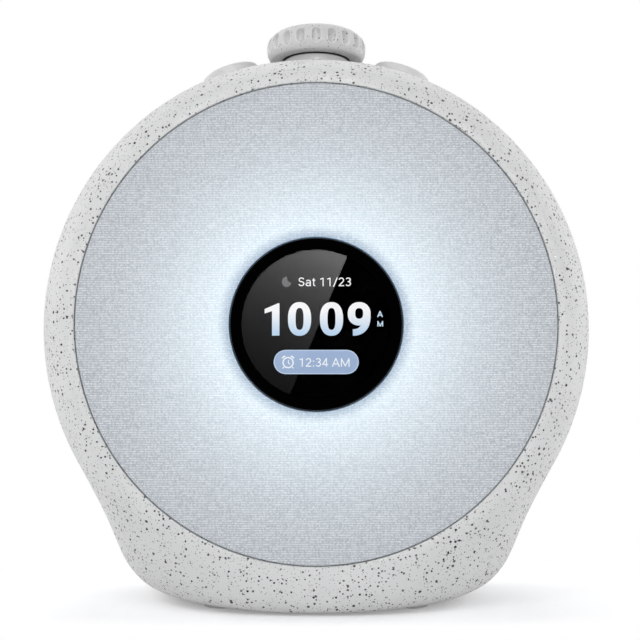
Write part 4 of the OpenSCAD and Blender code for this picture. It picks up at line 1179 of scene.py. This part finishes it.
def floorFinish(net):  # matt near the object, plain white further out
    seen = net.seen()
    d = studio["floorDiffuse"]
    matt = net.node("ShaderNodeBsdfDiffuse", {"Color": (d, d, d, 1)})
    tint = net.mix(seen, (0.0, 0.0, 0.0), (1.0, 1.0, 1.0))
    lift = net.node("ShaderNodeEmission", {"Color": tint, "Strength": studio["floorLift"]})
    near = net.node("ShaderNodeAddShader", {0: matt, 1: lift})
    white = net.node("ShaderNodeEmission", {"Color": (1, 1, 1, 1), "Strength": 1.0})
    x, y, z = net.split(net.node("ShaderNodeTexCoord", out="Object"))
    front = net.maths("MAXIMUM", studio["patchFront"] - y, 0.0)*studio["frontRate"]
    back = net.maths("MAXIMUM", y - studio["patchBack"], 0.0)*studio["backRate"]
    away = net.maths("SQRT", x*x*studio["sideRate"] + front*front + back*back)
    away = net.ease(away, studio["whiteFrom"], studio["whiteTo"])
    return net.node("ShaderNodeMixShader", {0: away*seen, 1: near, 2: white})


def plane(name, corners, material):  # corners in metres
    made = piece(name, [(np.array(corners)*1000, [(0, 1, 2, 3)])], material)
    return made


end = studio["floorSize"]
plane("floor", [(-end, -end, 0), (end, -end, 0), (end, end, 0), (-end, end, 0)],
      finish("floorFinish", floorFinish))

# the card's panel lies above a slanting edge, and fades with height and away from the edge
card = {"slope": 0.4151, "start": 0.0858, "top": 0.4, "fadeUp": 3.4/0.35, "fadeAside": 1.2/0.3,
        "strength": 2.9, "halfWide": 0.6, "tall": 1.0, "y": -2.0}


def cardFinish(net):  # a dark flag with a soft light panel, for the display to mirror
    x, y, z = net.split(net.node("ShaderNodeTexCoord", out="Object"))
    edge = z*card["slope"] - card["start"] - x
    panel = net.clamp(edge*400)
    fade = net.maths("EXPONENT", (z - card["top"])*card["fadeUp"] - edge*card["fadeAside"])
    glow = net.vector("SCALE", (1.0, 1.0, 1.0), scale=panel*fade*card["strength"])
    return net.node("ShaderNodeEmission", {"Color": glow, "Strength": 1.0})


w, y, h = card["halfWide"], card["y"], card["tall"]
flag = plane("studioCard", [(-w, y, -0.01), (w, y, -0.01), (w, y, h), (-w, y, h)],
             finish("cardFinish", cardFinish))
flag.visible_camera = flag.visible_diffuse = flag.visible_shadow = False

view = {"sensor": 36, "lens": 58.185, "shift": (0.0059, 0.1094), "place": (0.0, -0.38757, 0.0771)}
camera = bpy.data.cameras.new("camera")
camera.sensor_width, camera.lens = view["sensor"], view["lens"]
camera.shift_x, camera.shift_y = view["shift"]
eye = placed("camera", camera)
eye.location = view["place"]
eye.rotation_euler = (pi/2, 0, 0)
bpy.context.scene.camera = eye
bpy.context.scene.view_settings.view_transform = "Standard"
print("studio made")
